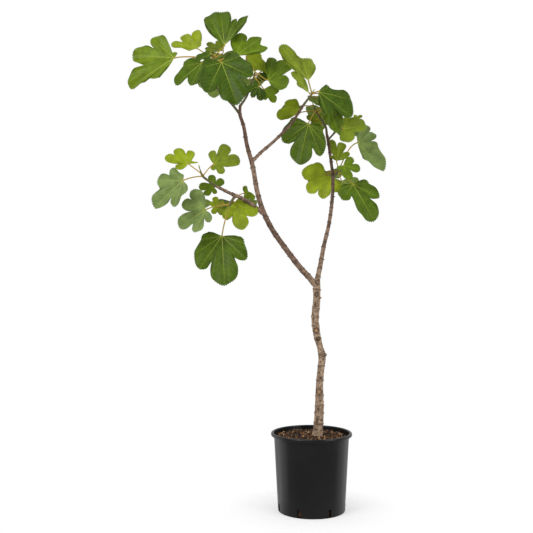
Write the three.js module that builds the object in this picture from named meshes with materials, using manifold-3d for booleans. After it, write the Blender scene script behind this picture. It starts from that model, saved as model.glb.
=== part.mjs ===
// A young fig tree in a round nursery container: one trunk that forks into two main boughs,
// with lobed leaves in loose clusters at the ends of the shoots.
// Millimetres, +Z up. The origin is the centre of the container's flat underside.
// "Front" is the -Y side, and left and right are -X and +X seen from the front.

import * as THREE from 'three';
import { mergeVertices } from 'three/addons/utils/BufferGeometryUtils.js';
import Module from 'manifold-3d';

const wasm = await Module();
wasm.setup();

// ---------------------------------------------------------------- driving dimensions

const GAP = 0.3;                    // clearance between pieces that touch

const POT = {
  height: 268,
  rimRadius: 140,
  lipDepth: 10,
  lipOverhang: 10,
  collarRadius: 131.5,
  collarDepth: 8,
  bodyTopRadius: 129.6,
  baseRadius: 115.8,
  wall: 2.2,
  floor: 3,
  facets: 42,
};
const SLOT = { count: 7, width: 14, low: 3, high: 29, first: -23.5 };   // drainage, in the wall's foot

const MIX_TOP = 255.7;              // level of the potting mix where the trunk stands
const MIX_DISH = 3;                 // how much lower it lies at the wall
const MIX_FLAT_RADIUS = 60;

const LIMB_SIDES = 9;
const STEM_SIDES = 6;
const STALK_SIDES = 3;
const STALK_STEPS = 3;
const STALK_RADIUS = { atStem: 2.4, atBlade: 1.9 };
const STALK_SINK = 0.06;            // share of the blade's length that the stalk runs on under it
const STALK_LIFT = 0.15;            // how steeply it leaves the stem

const BLADE_THICKNESS = 1.9;        // also at least a hundredth of the longest lobe
const BLADE_FOLD = 6;               // degrees that each half rises from the midrib
const BLADE_DROOP = 0.06;           // fall of the tip, as a share of the length
const LOBE_POINT = 1.6;             // exponents of a lobe's outline: lower is more pointed
const LOBE_FULLNESS = 0.2;          // and lower is fuller at the sides
const LOBE_SPREAD = 27;             // widest half angle of a lobe, in degrees
const HEEL_SPREAD = 32;             // the same on the outer side of the last lobe
const HEEL_REACH = 0.34;            // the blade's foot beside the stalk, as a share of the last lobe

const radians = THREE.MathUtils.degToRad;

// ---------------------------------------------------------------- limbs, as [x, y, z, radius]

const TRUNK = [
  [20, -4, 256, 19.2], [21, -4, 264, 17.6], [24, -4, 297, 16.2], [27, -2, 352, 15.4],
  [28, 0, 431, 12.4], [34, 3, 496, 11.8], [37, 4, 528, 13.2], [29, 4, 564, 10.6],
  [20, 3, 600, 12.4], [13, 2, 656, 12.8], [18, 1, 725, 12.6], [18, 0, 763, 12.8], [19, 0, 798, 11.2],
];
const BOUGH_LEFT = [
  [11, 0, 779, 10.4], [-7, -1, 802, 10.2], [-36, -3, 833, 9.8], [-95, -8, 910, 9.3],
  [-137, -13, 970, 9.0], [-168, -18, 1034, 8.8], [-187, -23, 1097, 8.2], [-204, -29, 1189, 8.0],
  [-222, -34, 1255, 7.0], [-234, -38, 1321, 6.2], [-246, -42, 1359, 6.0], [-245, -44, 1393, 4.8],
];
const BOUGH_LOW = [
  [-167, -17, 1022, 7.2], [-184, -21, 1036, 7.2], [-211, -30, 1058, 6.9], [-249, -43, 1078, 6.4],
  [-284, -54, 1092, 5.6], [-325, -66, 1112, 4.8],
];
const BOUGH_CENTRE = [
  [-204, -29, 1201, 6.0], [-176, -24, 1231, 5.8], [-130, -16, 1272, 5.4],
  [-69, -8, 1336, 5.0], [-28, -2, 1399, 4.6],
];
const BOUGH_RIGHT = [
  [19, 0, 789, 9.4], [29, 6, 836, 8.2], [43, 17, 908, 7.2], [62, 29, 986, 6.6],
  [73, 40, 1061, 6.2], [78, 51, 1145, 5.8], [69, 64, 1239, 5.3], [58, 74, 1312, 4.9],
];

// ---------------------------------------------------------------- foliage
// Each mass grows from one stem. A leaf states where its stalk leaves the stem (at, 0 to 1), the
// foot of its blade (base), where the midrib points as seen from the front (aim, degrees from +X
// towards +Z), how far its tip leans to the front (lean) and how far the blade is rolled about its
// midrib (turn). lobes are [degrees from the midrib, reach], with the widest half angle where it
// isn't LOBE_SPREAD. webs say how deep the bays between them are cut, as a share of the shorter
// neighbour, with the bay's angle where it isn't halfway, and heels how many degrees the blade goes
// on past its first and last lobe. hidden is how many more leaves the growing rule sets on the far
// side, within the space (x, y and z limits).

const MASSES = {
  foliage_top_left: {
    carriers: ['bough_left'],
    stem: [[-247, -42, 1361, 4.6], [-270, -46, 1390, 4.3], [-322, -52, 1447, 3.9],
      [-338, -46, 1496, 3.6], [-336, -44, 1536, 3.0], [-335, -44, 1556, 1.4]],
    leaves: [
      { at: 0.9, base: [-468, -60, 1548], aim: -145, lean: 5, turn: -25, heels: [9, 20],
        lobes: [[-16, 105], [2, 183], [43, 151], [80, 114], [135, 26]],
        webs: [[0.93, -6], [0.71, 23], [0.7, 63], 0.8] },
      { at: 0.93, base: [-398, 20, 1601], aim: 143, lean: -20, turn: -15, heels: [12, 20],
        lobes: [[-52, 34], [-26, 97], [6, 85], [47, 77], [90, 24]], webs: [0.9, 0.72, 0.55, 0.95] },
      { at: 0.95, base: [-299, -30, 1599], aim: 100, lean: -22, turn: 10, heels: [16, 8],
        lobes: [[-15, 150], [2, 147], [31, 110], [49, 133]], webs: [0.98, [0.72, 23], 0.92] },
      { at: 0.86, base: [-308, 50, 1601], aim: 151, lean: -15, turn: -35,
        lobes: [[-34, 65], [0, 71], [30, 54]], webs: [0.8, 0.8] },
      { at: 0.98, base: [-342, -95, 1553], aim: -154, lean: 10, turn: -20,
        lobes: [[-25, 34], [0, 57], [50, 22]], webs: [0.9, 0.9] },
      { at: 0.88, base: [-366, -150, 1511], aim: -112, lean: 25, turn: -15, heels: [24, 30],
        lobes: [[0, 100], [24, 123], [54, 66]], webs: [[0.8, 16], 0.95] },
      { at: 0.82, base: [-303, -150, 1511], aim: -72, lean: 25, turn: 10, heels: [34, 40],
        lobes: [[-92, 64], [-42, 118], [-2, 172], [34, 138], [80, 68]],
        webs: [0.95, [0.79, -25], [0.72, 20], 0.97] },
      { at: 0.78, base: [-260, -40, 1560], aim: 17, lean: -10, turn: 30, heels: [36, 12],
        lobes: [[-54, 100], [-25, 122], [-2, 118]], webs: [0.43, 0.93] },
    ],
    hidden: 5, seed: 11, space: [[-520, -236], [-10, 250], [1400, 1680]],
  },
  foliage_top_centre: {
    carriers: ['bough_left'],
    stem: [[-245, -44, 1388, 4.4], [-224, -32, 1423, 4.0], [-209, -8, 1471, 3.6],
      [-198, 12, 1501, 3.0], [-196, 14, 1516, 1.4]],
    leaves: [
      { at: 0.95, base: [-227, 60, 1585], aim: -40, lean: 10, turn: 20,
        lobes: [[-32, 58], [0, 98], [20, 59]], webs: [0.95, 0.95] },
      { at: 0.98, base: [-150, 10, 1488], aim: 33, lean: -10, turn: 30, heels: [16, 28],
        lobes: [[-46, 103], [-14, 111, 30], [70, 83, 52]], webs: [[0.83, -34], [0.54, 19]] },
      { at: 0.9, base: [-165, 60, 1494], aim: 104, lean: -10, turn: 0,
        lobes: [[-39, 32], [0, 37], [45, 30]], webs: [0.95, 0.95] },
      { at: 0.75, base: [-181, -30, 1458], aim: -122, lean: 20, turn: -10,
        lobes: [[-35, 60], [0, 52], [35, 52], [104, 27]], webs: [0.62, 0.7, 0.7] },
      { at: 0.8, base: [-165, 45, 1464], aim: -50, lean: 15, turn: 10,
        lobes: [[-41, 56], [0, 66], [30, 46]], webs: [0.8, 0.85] },
    ],
    hidden: 3, seed: 23, space: [[-290, -60], [20, 260], [1380, 1620]],
  },
  foliage_centre: {
    carriers: ['bough_centre'],
    stem: [[-28, -2, 1399, 4.2], [-13, 0, 1419, 4.0], [-2, 2, 1433, 3.4], [5, 2, 1445, 1.4]],
    leaves: [
      { at: 0.8, base: [-11, -10, 1482], aim: 97, lean: -5, turn: -10, heels: [14, 14],
        lobes: [[-33, 156], [-6, 84], [10, 81], [24, 67]], webs: [[0.9, -19], 0.97, 0.97] },
      { at: 0.7, base: [-11, -60, 1430], aim: 129, lean: -20, turn: -30, heels: [16, 16],
        lobes: [[-8, 60], [4, 110]], webs: [0.98] },
      { at: 0.85, base: [24, 0, 1446], aim: -38, lean: 10, turn: 25, heels: [24, 12],
        lobes: [[-66, 44], [-26, 117], [0, 147], [36, 104]], webs: [[0.94, -44], 0.95, [0.8, 12]] },
    ],
    hidden: 3, seed: 37, space: [[-130, 140], [20, 260], [1405, 1640]],
  },
  foliage_upper_right: {
    carriers: ['bough_right'],
    stem: [[58, 74, 1312, 4.4], [55, 78, 1336, 4.0], [41, 76, 1359, 3.8], [26, 72, 1382, 3.4],
      [14, 68, 1402, 2.6], [10, 66, 1412, 1.4]],
    leaves: [
      { at: 0.72, base: [-41, 40, 1381], aim: -169, lean: 0, turn: -25, heels: [26, 20],
        lobes: [[4, 81, 32], [53, 68], [78, 58]], webs: [[0.8, 38], 0.97] },
      { at: 0.66, base: [-10, 25, 1339], aim: -103, lean: 8, turn: 0, heels: [22, 20],
        lobes: [[-72, 60], [-50, 102], [-33, 124], [0, 149], [40, 114], [82, 68]],
        webs: [0.95, 0.97, [0.72, -21], [0.7, 23], 0.95] },
      { at: 0.5, base: [43, 120, 1351], aim: 146, lean: -10, turn: -20,
        lobes: [[-31, 42], [0, 66], [30, 53]], webs: [0.9, 0.9] },
      { at: 0.6, base: [65, 40, 1403], aim: -71, lean: 20, turn: -20, heels: [16, 14],
        lobes: [[-14, 84], [4, 108], [24, 70]], webs: [0.97, 0.97] },
    ],
    hidden: 4, seed: 41, space: [[-150, 130], [90, 320], [1160, 1480]],
  },
  foliage_right_upper: {
    carriers: ['bough_right'],
    stem: [[62, 71, 1289, 4.0], [74, 69, 1302, 3.4], [84, 66, 1313, 3.0], [88, 64, 1320, 1.4]],
    leaves: [
      { at: 0.75, base: [111, 10, 1318], aim: 5, lean: 0, turn: 25, heels: [32, 38],
        lobes: [[-58, 52], [-6, 81], [80, 63, 48]], webs: [0.97, [0.68, 29]] },
      { at: 0.9, base: [157, 110, 1369], aim: 27, lean: -20, turn: 20,
        lobes: [[-26, 24], [0, 40], [30, 26]], webs: [0.9, 0.9] },
    ],
    hidden: 2, seed: 9, space: [[60, 250], [112, 330], [1180, 1420]],
  },
  foliage_right_lower: {
    carriers: ['bough_right'],
    stem: [[78, 52, 1147, 4.2], [86, 50, 1161, 3.8], [94, 48, 1174, 3.2], [98, 48, 1182, 1.4]],
    leaves: [
      { at: 0.98, base: [169, 90, 1283], aim: -47, lean: 10, turn: 20, heels: [30, 12],
        lobes: [[-108, 81], [-73, 76], [-36, 76], [1, 140], [18, 82]],
        webs: [[0.8, -91], [0.62, -56], 0.97, 0.95] },
      { at: 0.55, base: [57, 110, 1169], aim: -133, lean: 10, turn: -15, heels: [24, 30],
        lobes: [[-78, 86], [-36, 94], [2, 93], [53, 88], [92, 62]], webs: [0.84, 0.62, 0.56, 0.95] },
      { at: 0.92, base: [91, 50, 1213], aim: 73, lean: -25, turn: 10, heels: [20, 24],
        lobes: [[-62, 30], [-25, 92], [0, 85], [40, 56]], webs: [0.85, 0.66, 0.6] },
      { at: 0.8, base: [111, 10, 1191], aim: -13, lean: 5, turn: 25,
        lobes: [[-50, 46], [0, 61], [58, 63], [130, 28]], webs: [0.7, 0.55, 0.8] },
      { at: 0.6, base: [147, 30, 1128], aim: -63, lean: 15, turn: 10, heels: [22, 20],
        lobes: [[-66, 58], [-34, 104], [-2, 153, 20], [58, 76], [92, 52]],
        webs: [0.95, [0.79, -22], [0.56, 36], 0.95] },
    ],
    hidden: 3, seed: 67, space: [[-20, 280], [110, 320], [1000, 1330]],
  },
  foliage_low_left: {
    carriers: ['bough_low'],
    stem: [[-325, -66, 1112, 4.4], [-350, -74, 1129, 4.1], [-370, -80, 1145, 3.6],
      [-376, -82, 1158, 2.6], [-381, -84, 1173, 1.4]],
    leaves: [
      { at: 0.6, base: [-418, -80, 1187], aim: 127, lean: -20, turn: -20, heels: [24, 8],
        lobes: [[-86, 50], [-40, 84], [-6, 76], [42, 54], [114, 33, 10]], webs: [0.55, 0.66, 0.6, 0.5] },
      { at: 0.5, base: [-432, -130, 1125], aim: -136, lean: 8, turn: -20, heels: [24, 16],
        lobes: [[-58, 50], [-30, 98], [1, 131], [46, 88], [88, 60], [128, 26]],
        webs: [0.9, 0.7, 0.88, 0.84, 0.9] },
      { at: 0.55, base: [-335, -40, 1190], aim: 8, lean: -10, turn: 25,
        lobes: [[-83, 52], [-48, 92], [-6, 94], [60, 52], [104, 30]], webs: [0.7, 0.55, 0.75, 0.8] },
      { at: 0.4, base: [-338, 20, 1116], aim: 175, lean: 0, turn: -20,
        lobes: [[-101, 28], [-47, 46], [0, 55], [71, 49], [131, 45]], webs: [0.6, 0.6, 0.55, 0.6] },
    ],
    hidden: 1, seed: 79, space: [[-560, -250], [0, 260], [1000, 1290]],
  },
  foliage_low_under: {
    carriers: ['bough_low'],
    stem: [[-265, -48, 1082, 4.6], [-268, -49, 1074, 4.2], [-276, -51, 1060, 3.8], [-283, -53, 1046, 2.6]],
    leaves: [
      { at: 0.9, base: [-359, -120, 1029], aim: -140, lean: 12, turn: -20, heels: [26, 30],
        lobes: [[-66, 52], [-27, 90], [6, 106], [60, 83], [98, 84]], webs: [0.68, 0.6, 0.48, 0.68] },
      { at: 0.85, base: [-325, -10, 1048], aim: 99, lean: -20, turn: 0,
        lobes: [[-140, 33], [-55, 31], [-6, 40], [60, 30], [150, 40]], webs: [0.5, 0.6, 0.6, 0.5] },
      { at: 0.5, base: [-266, -22, 1060], aim: -72, lean: 15, turn: 10, heels: [30, 22],
        lobes: [[-92, 36], [-46, 90], [-1, 101], [46, 72]], webs: [0.95, 0.6, [0.66, 27]] },
      { at: 0.6, base: [-232, 10, 1095], aim: -28, lean: 0, turn: 10,
        lobes: [[-110, 28], [0, 42], [40, 28]], webs: [0.6, 0.9] },
      { at: 0.98, base: [-306, -70, 944], aim: -86, lean: 18, turn: -5, heels: [16, 28],
        lobes: [[-64, 86], [-40, 122], [0, 174], [36, 139], [58, 114], [82, 72]],
        webs: [0.97, [0.78, -24], [0.7, 22], 0.97, 0.95] },
    ],
    hidden: 3, seed: 83, space: [[-440, -170], [0, 260], [780, 1080]],
  },
};

// The growing rule for the leaves of the far side
const HIDDEN = {
  azimuth: [20, 160],               // degrees from +X towards +Y
  stalk: [40, 120],
  stalkRise: [-10, 50],
  length: [60, 110],
  droop: [10, 60],
  lobes: [[-50, 0.82], [0, 1], [50, 0.82]],
  webs: [0.6, 0.6],
  heels: [60, 60],
  tries: 3000,
  limbClearance: 12,
  leafClearance: 46,
  covered: 0.8,                     // share of the outline that leaves nearer the eye must cover
};
const EYE = [-156, -2940, 841];     // where the tree is looked at from the front

// ---------------------------------------------------------------- solids

function toManifold(positions, triangles) {
  const mesh = new wasm.Mesh({
    numProp: 3,
    vertProperties: new Float32Array(positions),
    triVerts: new Uint32Array(triangles),
  });
  return new wasm.Manifold(mesh);
}

function geometryToManifold(geometry) {
  geometry.deleteAttribute('normal');
  geometry.deleteAttribute('uv');
  const merged = mergeVertices(geometry, 1e-4);
  return toManifold(merged.attributes.position.array, merged.index.array);
}

function manifoldToGeometry(solid) {
  const mesh = solid.getMesh();
  const geometry = new THREE.BufferGeometry();
  geometry.setAttribute('position', new THREE.BufferAttribute(mesh.vertProperties, 3));
  geometry.setIndex(new THREE.BufferAttribute(mesh.triVerts, 1));
  geometry.computeVertexNormals();
  return geometry;
}

// The largest body of a solid: loose scraps go, and a hollow that joining sealed is filled.
function largestBody(solid) {
  const bodies = solid.decompose();
  return bodies.reduce((best, body) => (body.volume() > best.volume() ? body : best));
}

function between(range, share) {
  return range[0] + (range[1] - range[0]) * share;
}

// Repeatable random numbers from 0 to 1.
function seededRandom(seed) {
  let state = seed >>> 0;
  return () => {
    state = (state + 0x6d2b79f5) >>> 0;
    let mixed = Math.imul(state ^ (state >>> 15), state | 1);
    mixed ^= mixed + Math.imul(mixed ^ (mixed >>> 7), mixed | 61);
    return ((mixed ^ (mixed >>> 14)) >>> 0) / 4294967296;
  };
}

// ---------------------------------------------------------------- limbs

// Points and radii along a limb, smoothed through its stations.
function limbRings(stations, stepsBetween) {
  const curve = new THREE.CatmullRomCurve3(stations.map(([x, y, z]) => new THREE.Vector3(x, y, z)));
  const last = stations.length - 1;
  const rings = [];
  for (let step = 0; step <= last * stepsBetween; step += 1) {
    const place = step / stepsBetween;
    const station = Math.min(Math.floor(place), last - 1);
    const radius = THREE.MathUtils.lerp(stations[station][3], stations[station + 1][3], place - station);
    rings.push({ centre: curve.getPoint(place / last), axis: curve.getTangent(place / last), radius });
  }
  return rings;
}

// A tapering limb: rings square to its line, with flat ends. grow widens and lengthens it.
function limbSolid(stations, { sides = LIMB_SIDES, stepsBetween = 2, grow = 0, levelFoot = false } = {}) {
  const rings = limbRings(stations, stepsBetween);
  if (levelFoot) {
    rings[0].axis = new THREE.Vector3(0, 0, 1);
  }
  rings[0].centre.addScaledVector(rings[0].axis, -grow);
  rings.at(-1).centre.addScaledVector(rings.at(-1).axis, grow);
  const positions = [];
  const triangles = [];
  let side = new THREE.Vector3(0, 1, 0);
  for (const ring of rings) {
    side = side.clone().addScaledVector(ring.axis, -side.dot(ring.axis)).normalize();
    const across = new THREE.Vector3().crossVectors(ring.axis, side);
    for (let corner = 0; corner < sides; corner += 1) {
      const angle = (2 * Math.PI * corner) / sides;
      const point = ring.centre.clone()
        .addScaledVector(side, Math.cos(angle) * (ring.radius + grow))
        .addScaledVector(across, Math.sin(angle) * (ring.radius + grow));
      positions.push(point.x, point.y, point.z);
    }
  }
  for (let row = 0; row < rings.length - 1; row += 1) {
    for (let corner = 0; corner < sides; corner += 1) {
      const next = (corner + 1) % sides;
      const a = row * sides + corner;
      const b = row * sides + next;
      triangles.push(a, b, b + sides, a, b + sides, a + sides);
    }
  }
  const top = (rings.length - 1) * sides;
  for (let corner = 1; corner < sides - 1; corner += 1) {
    triangles.push(0, corner + 1, corner, top, top + corner, top + corner + 1);
  }
  return toManifold(positions, triangles);
}

// ---------------------------------------------------------------- leaves

// The edge of a blade: how far it reaches at each angle from the midrib.
function bladeSectors({ lobes, webs, heels = [HEEL_SPREAD, HEEL_SPREAD] }) {
  const sectors = [];
  lobes.forEach(([angle, reach, widest = LOBE_SPREAD], index) => {
    for (const way of [-1, 1]) {
      const neighbour = lobes[index + way];
      const heel = heels[way < 0 ? 0 : 1];
      let gap = heel;
      let web = HEEL_REACH * reach;
      let spread = heel;
      if (neighbour) {
        const bayBetween = webs[way < 0 ? index - 1 : index];
        const [share, bayAngle = (angle + neighbour[0]) / 2] = [bayBetween].flat();
        gap = Math.abs(bayAngle - angle);
        web = share * Math.min(reach, neighbour[1]);
        spread = Math.min(gap * 1.1, widest);
      }
      sectors.push({ angle, reach, way, bay: gap, web, spread });
    }
  });
  return sectors;
}

function edgeReach(sector, turn) {
  const share = Math.min(turn / sector.spread, 1);
  const lobe = sector.reach * (1 - share ** LOBE_POINT) ** LOBE_FULLNESS;
  return Math.max(lobe, sector.web * Math.min(1, turn / (0.3 * sector.bay)));
}

// The blade's outline in space, around from one heel to the other.
function bladeOutline(leaf) {
  const { base, along, across } = leaf.frame;
  const place = (angle, reach) => base.clone()
    .addScaledVector(across, reach * Math.sin(radians(angle)))
    .addScaledVector(along, reach * Math.cos(radians(angle)));
  const points = [base.clone()];
  for (const sector of bladeSectors(leaf)) {
    const asides = [sector.bay, 0.87 * sector.spread, 0.5 * sector.spread, 0];
    const ordered = sector.way < 0 ? asides : asides.reverse().slice(1);
    for (const aside of ordered) {
      points.push(place(sector.angle + sector.way * aside, edgeReach(sector, aside)));
    }
  }
  return points;
}

// Where a point is seen from the eye, on the plane through the tree's foot.
function seen(point) {
  const share = -EYE[1] / (point.y - EYE[1]);
  return [EYE[0] + (point.x - EYE[0]) * share, EYE[2] + (point.z - EYE[2]) * share];
}

function insideOutline([x, z], outline) {
  let inside = false;
  outline.forEach(([x1, z1], index) => {
    const [x2, z2] = outline[(index + 1) % outline.length];
    if ((z1 > z) !== (z2 > z) && x < x1 + ((z - z1) * (x2 - x1)) / (z2 - z1)) {
      inside = !inside;
    }
  });
  return inside;
}

// The blade's surface above its own flat plane, for a point x across and y along the midrib.
function bladeLift(x, y, length) {
  const fold = Math.tan(radians(BLADE_FOLD)) * (Math.sqrt(x * x + 16) - 4);
  const droop = (BLADE_DROOP * (Math.max(y, 0) ** 2 + 0.6 * x * x)) / length;
  return fold - droop;
}

function bladeSolid(leaf) {
  const { frame } = leaf;
  const longest = Math.max(...leaf.lobes.map(([, reach]) => reach));
  const thickness = Math.max(BLADE_THICKNESS, longest / 90);
  const top = [];
  const addPoint = (angle, reach) => {
    const x = reach * Math.sin(radians(angle));
    const y = reach * Math.cos(radians(angle));
    top.push(frame.base.clone()
      .addScaledVector(frame.across, x)
      .addScaledVector(frame.along, y)
      .addScaledVector(frame.up, bladeLift(x, y, longest)));
    return top.length - 1;
  };
  const faces = [];
  const rim = [];
  const foot = addPoint(0, 0);
  rim.push(foot);
  let bay = null;                    // the edge point of the bay between two lobes
  let vein = null;                   // the lobe's inner and tip points, shared by its two sides
  for (const sector of bladeSectors(leaf)) {
    const { angle, reach, way, spread } = sector;
    const shoulders = [0.87, 0.5].map((share) => share * spread);
    const outer = shoulders.map((aside) => addPoint(angle + way * aside, edgeReach(sector, aside)));
    if (way < 0) {
      if (bay === null) {
        bay = addPoint(angle - sector.bay, sector.web);
        rim.push(bay);
      }
      vein = { inner: addPoint(angle, 0.5 * reach), tip: addPoint(angle, reach) };
      faces.push([foot, vein.inner, bay], [vein.inner, outer[0], bay],
        [vein.inner, outer[1], outer[0]], [vein.inner, vein.tip, outer[1]]);
      rim.push(...outer, vein.tip);
    } else {
      bay = addPoint(angle + sector.bay, sector.web);
      faces.push([foot, bay, vein.inner], [vein.inner, bay, outer[0]],
        [vein.inner, outer[0], outer[1]], [vein.inner, outer[1], vein.tip]);
      rim.push(outer[1], outer[0], bay);
    }
  }
  const positions = [];
  for (const lower of [0, 1]) {
    for (const point of top) {
      const shifted = point.clone().addScaledVector(frame.up, (0.5 - lower) * thickness);
      positions.push(shifted.x, shifted.y, shifted.z);
    }
  }
  const triangles = [];
  const count = top.length;
  for (const [a, b, c] of faces) {
    triangles.push(a, b, c, count + a, count + c, count + b);
  }
  rim.forEach((a, index) => {
    const b = rim[(index + 1) % rim.length];
    triangles.push(a, b, count + b, a, count + b, count + a);
  });
  return toManifold(positions, triangles);
}

// The stalk bends from the stem to the foot of the blade and runs on a little under it.
function stalkSolid(stemPoint, frame, length) {
  const straight = frame.base.clone().sub(stemPoint);
  const distance = straight.length();
  const lifted = new THREE.Vector3(0, 0, STALK_LIFT * distance);
  const leaving = straight.clone().add(lifted).normalize();
  const arriving = straight.clone().normalize().addScaledVector(frame.along, 0.6).normalize();
  const curve = new THREE.CubicBezierCurve3(
    stemPoint,
    stemPoint.clone().addScaledVector(leaving, 0.35 * distance),
    frame.base.clone().addScaledVector(arriving, -0.3 * distance),
    frame.base,
  );
  const stations = [];
  for (let step = 0; step <= STALK_STEPS; step += 1) {
    const share = step / STALK_STEPS;
    const point = curve.getPoint(share);
    const radius = THREE.MathUtils.lerp(STALK_RADIUS.atStem, STALK_RADIUS.atBlade, share);
    stations.push([point.x, point.y, point.z, radius]);
  }
  const end = frame.base.clone().addScaledVector(frame.along, STALK_SINK * length);
  stations.push([end.x, end.y, end.z, 0.6 * STALK_RADIUS.atBlade]);
  return limbSolid(stations, { sides: STALK_SIDES, stepsBetween: 1 });
}

// Axes of a blade that is stated as seen from the front.
function frontFrame({ base, aim, lean, turn }) {
  const along = new THREE.Vector3(
    Math.cos(radians(lean)) * Math.cos(radians(aim)),
    -Math.sin(radians(lean)),
    Math.cos(radians(lean)) * Math.sin(radians(aim)),
  );
  const up = new THREE.Vector3(0, -1, 0).addScaledVector(along, along.y).normalize();
  up.applyAxisAngle(along, -radians(turn));
  const across = new THREE.Vector3().crossVectors(along, up);
  return { base: new THREE.Vector3(...base), along, up, across };
}

// Axes of a blade that hangs outwards from its stalk, with its upper face to the sky.
function outwardFrame(base, azimuth, droop) {
  const along = new THREE.Vector3(
    Math.cos(radians(droop)) * Math.cos(radians(azimuth)),
    Math.cos(radians(droop)) * Math.sin(radians(azimuth)),
    -Math.sin(radians(droop)),
  );
  const up = new THREE.Vector3(0, 0, 1).addScaledVector(along, -along.z).normalize();
  const across = new THREE.Vector3().crossVectors(along, up);
  return { base, along, up, across };
}

// The leaves of the far side. Each try starts somewhere on the stem and grows a stalk and a blade
// outwards. A leaf that would leave the mass's space, come too near a limb or another leaf, or show
// past the leaves in front of it is skipped.
function hiddenLeaves(mass, limbPoints, shown, taken) {
  const random = seededRandom(mass.seed);
  const stem = limbRings(mass.stem, 2);
  const leaves = [];
  for (let attempt = 0; attempt < HIDDEN.tries && leaves.length < mass.hidden; attempt += 1) {
    const at = between([0.45, 0.95], random());
    const azimuth = between(HIDDEN.azimuth, random());
    const rise = radians(between(HIDDEN.stalkRise, random()));
    const stalk = between(HIDDEN.stalk, random());
    const length = between(HIDDEN.length, random());
    const droop = between(HIDDEN.droop, random());
    const stemPoint = stem[Math.round(at * (stem.length - 1))].centre;
    const base = stemPoint.clone().add(new THREE.Vector3(
      stalk * Math.cos(rise) * Math.cos(radians(azimuth)),
      stalk * Math.cos(rise) * Math.sin(radians(azimuth)),
      stalk * Math.sin(rise),
    ));
    const leaf = {
      at,
      frame: outwardFrame(base, azimuth, droop),
      lobes: HIDDEN.lobes.map(([angle, share]) => [angle, share * length]),
      webs: HIDDEN.webs,
      heels: HIDDEN.heels,
    };
    const outline = bladeOutline(leaf);
    const middle = base.clone().addScaledVector(leaf.frame.along, 0.5 * length);
    const inside = outline.every((point) => point.toArray().every(
      (value, axis) => value >= mass.space[axis][0] && value <= mass.space[axis][1],
    ));
    const near = HIDDEN.limbClearance + 0.4 * length;
    const clear = limbPoints.every((point) => point.distanceTo(middle) > near)
      && taken.every((point) => point.distanceTo(middle) > HIDDEN.leafClearance);
    if (inside && clear) {
      const covered = outline.filter((point) => shown.some((shape) => insideOutline(seen(point), shape)));
      if (covered.length >= HIDDEN.covered * outline.length) {
        taken.push(middle);
        leaves.push(leaf);
      }
    }
  }
  return leaves;
}

function massSolid(mass, leaves, carrierSolids) {
  const stem = limbRings(mass.stem, 2);
  let solid = limbSolid(mass.stem, { sides: STEM_SIDES });
  for (const leaf of leaves) {
    const length = Math.max(...leaf.lobes.map(([, reach]) => reach));
    const stemPoint = stem[Math.round(leaf.at * (stem.length - 1))].centre;
    solid = solid.add(stalkSolid(stemPoint, leaf.frame, length)).add(bladeSolid(leaf));
  }
  for (const carrier of carrierSolids) {
    solid = solid.subtract(carrier);
  }
  return largestBody(solid);
}

// ---------------------------------------------------------------- container and mix

function turned(profile, facets) {
  const lathe = new THREE.LatheGeometry(profile.map(([r, z]) => new THREE.Vector2(r, z)), facets);
  lathe.rotateX(Math.PI / 2);
  return geometryToManifold(lathe);
}

function wallRadius(z) {
  return THREE.MathUtils.lerp(POT.baseRadius, POT.bodyTopRadius, z / (POT.height - POT.lipDepth));
}

function potSolid() {
  const lipBottom = POT.height - POT.lipDepth;
  const collarBottom = lipBottom - POT.collarDepth;
  const inner = POT.rimRadius - POT.lipOverhang;
  let pot = turned([
    [0, 0], [POT.baseRadius, 0], [wallRadius(collarBottom), collarBottom],
    [POT.collarRadius, collarBottom + 1], [POT.collarRadius, lipBottom], [POT.rimRadius, lipBottom],
    [POT.rimRadius, POT.height - 3], [POT.rimRadius - 3, POT.height], [inner + 2, POT.height],
    [inner, POT.height - 3], [wallRadius(lipBottom) - POT.wall, collarBottom],
    [wallRadius(POT.floor) - POT.wall, POT.floor], [0, POT.floor],
  ], POT.facets);
  for (let index = 0; index < SLOT.count; index += 1) {
    const cutter = new THREE.BoxGeometry(SLOT.width, 30, SLOT.high - SLOT.low);
    cutter.translate(0, -POT.baseRadius, (SLOT.high + SLOT.low) / 2);
    cutter.rotateZ(radians(SLOT.first + (360 * index) / SLOT.count));
    pot = pot.subtract(geometryToManifold(cutter));
  }
  return pot;
}

function mixSolid() {
  const foot = POT.floor + GAP;
  const edge = MIX_TOP - MIX_DISH;
  const clear = POT.wall + 2 * GAP;
  return turned([
    [0, foot], [wallRadius(foot) - clear, foot], [wallRadius(edge) - clear, edge],
    [MIX_FLAT_RADIUS, MIX_TOP], [0, MIX_TOP],
  ], POT.facets);
}

// ---------------------------------------------------------------- assembly

const tree = new THREE.Group();

function addPiece(name, solid, color, roughness) {
  const material = new THREE.MeshStandardMaterial({ color, roughness, metalness: 0 });
  const mesh = new THREE.Mesh(manifoldToGeometry(solid), material);
  mesh.name = name;
  tree.add(mesh);
}

const LIMBS = {
  trunk: { stations: TRUNK, levelFoot: true, seats: [] },
  bough_left: { stations: BOUGH_LEFT, seats: ['trunk'] },
  bough_low: { stations: BOUGH_LOW, seats: ['bough_left'] },
  bough_centre: { stations: BOUGH_CENTRE, seats: ['bough_left'] },
  bough_right: { stations: BOUGH_RIGHT, seats: ['trunk', 'bough_left'] },
};
const clearances = {};
for (const [name, { stations }] of Object.entries(LIMBS)) {
  clearances[name] = limbSolid(stations, { grow: GAP });
}
const limbPoints = Object.values(LIMBS)
  .flatMap(({ stations }) => limbRings(stations, 4).map((ring) => ring.centre));

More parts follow.
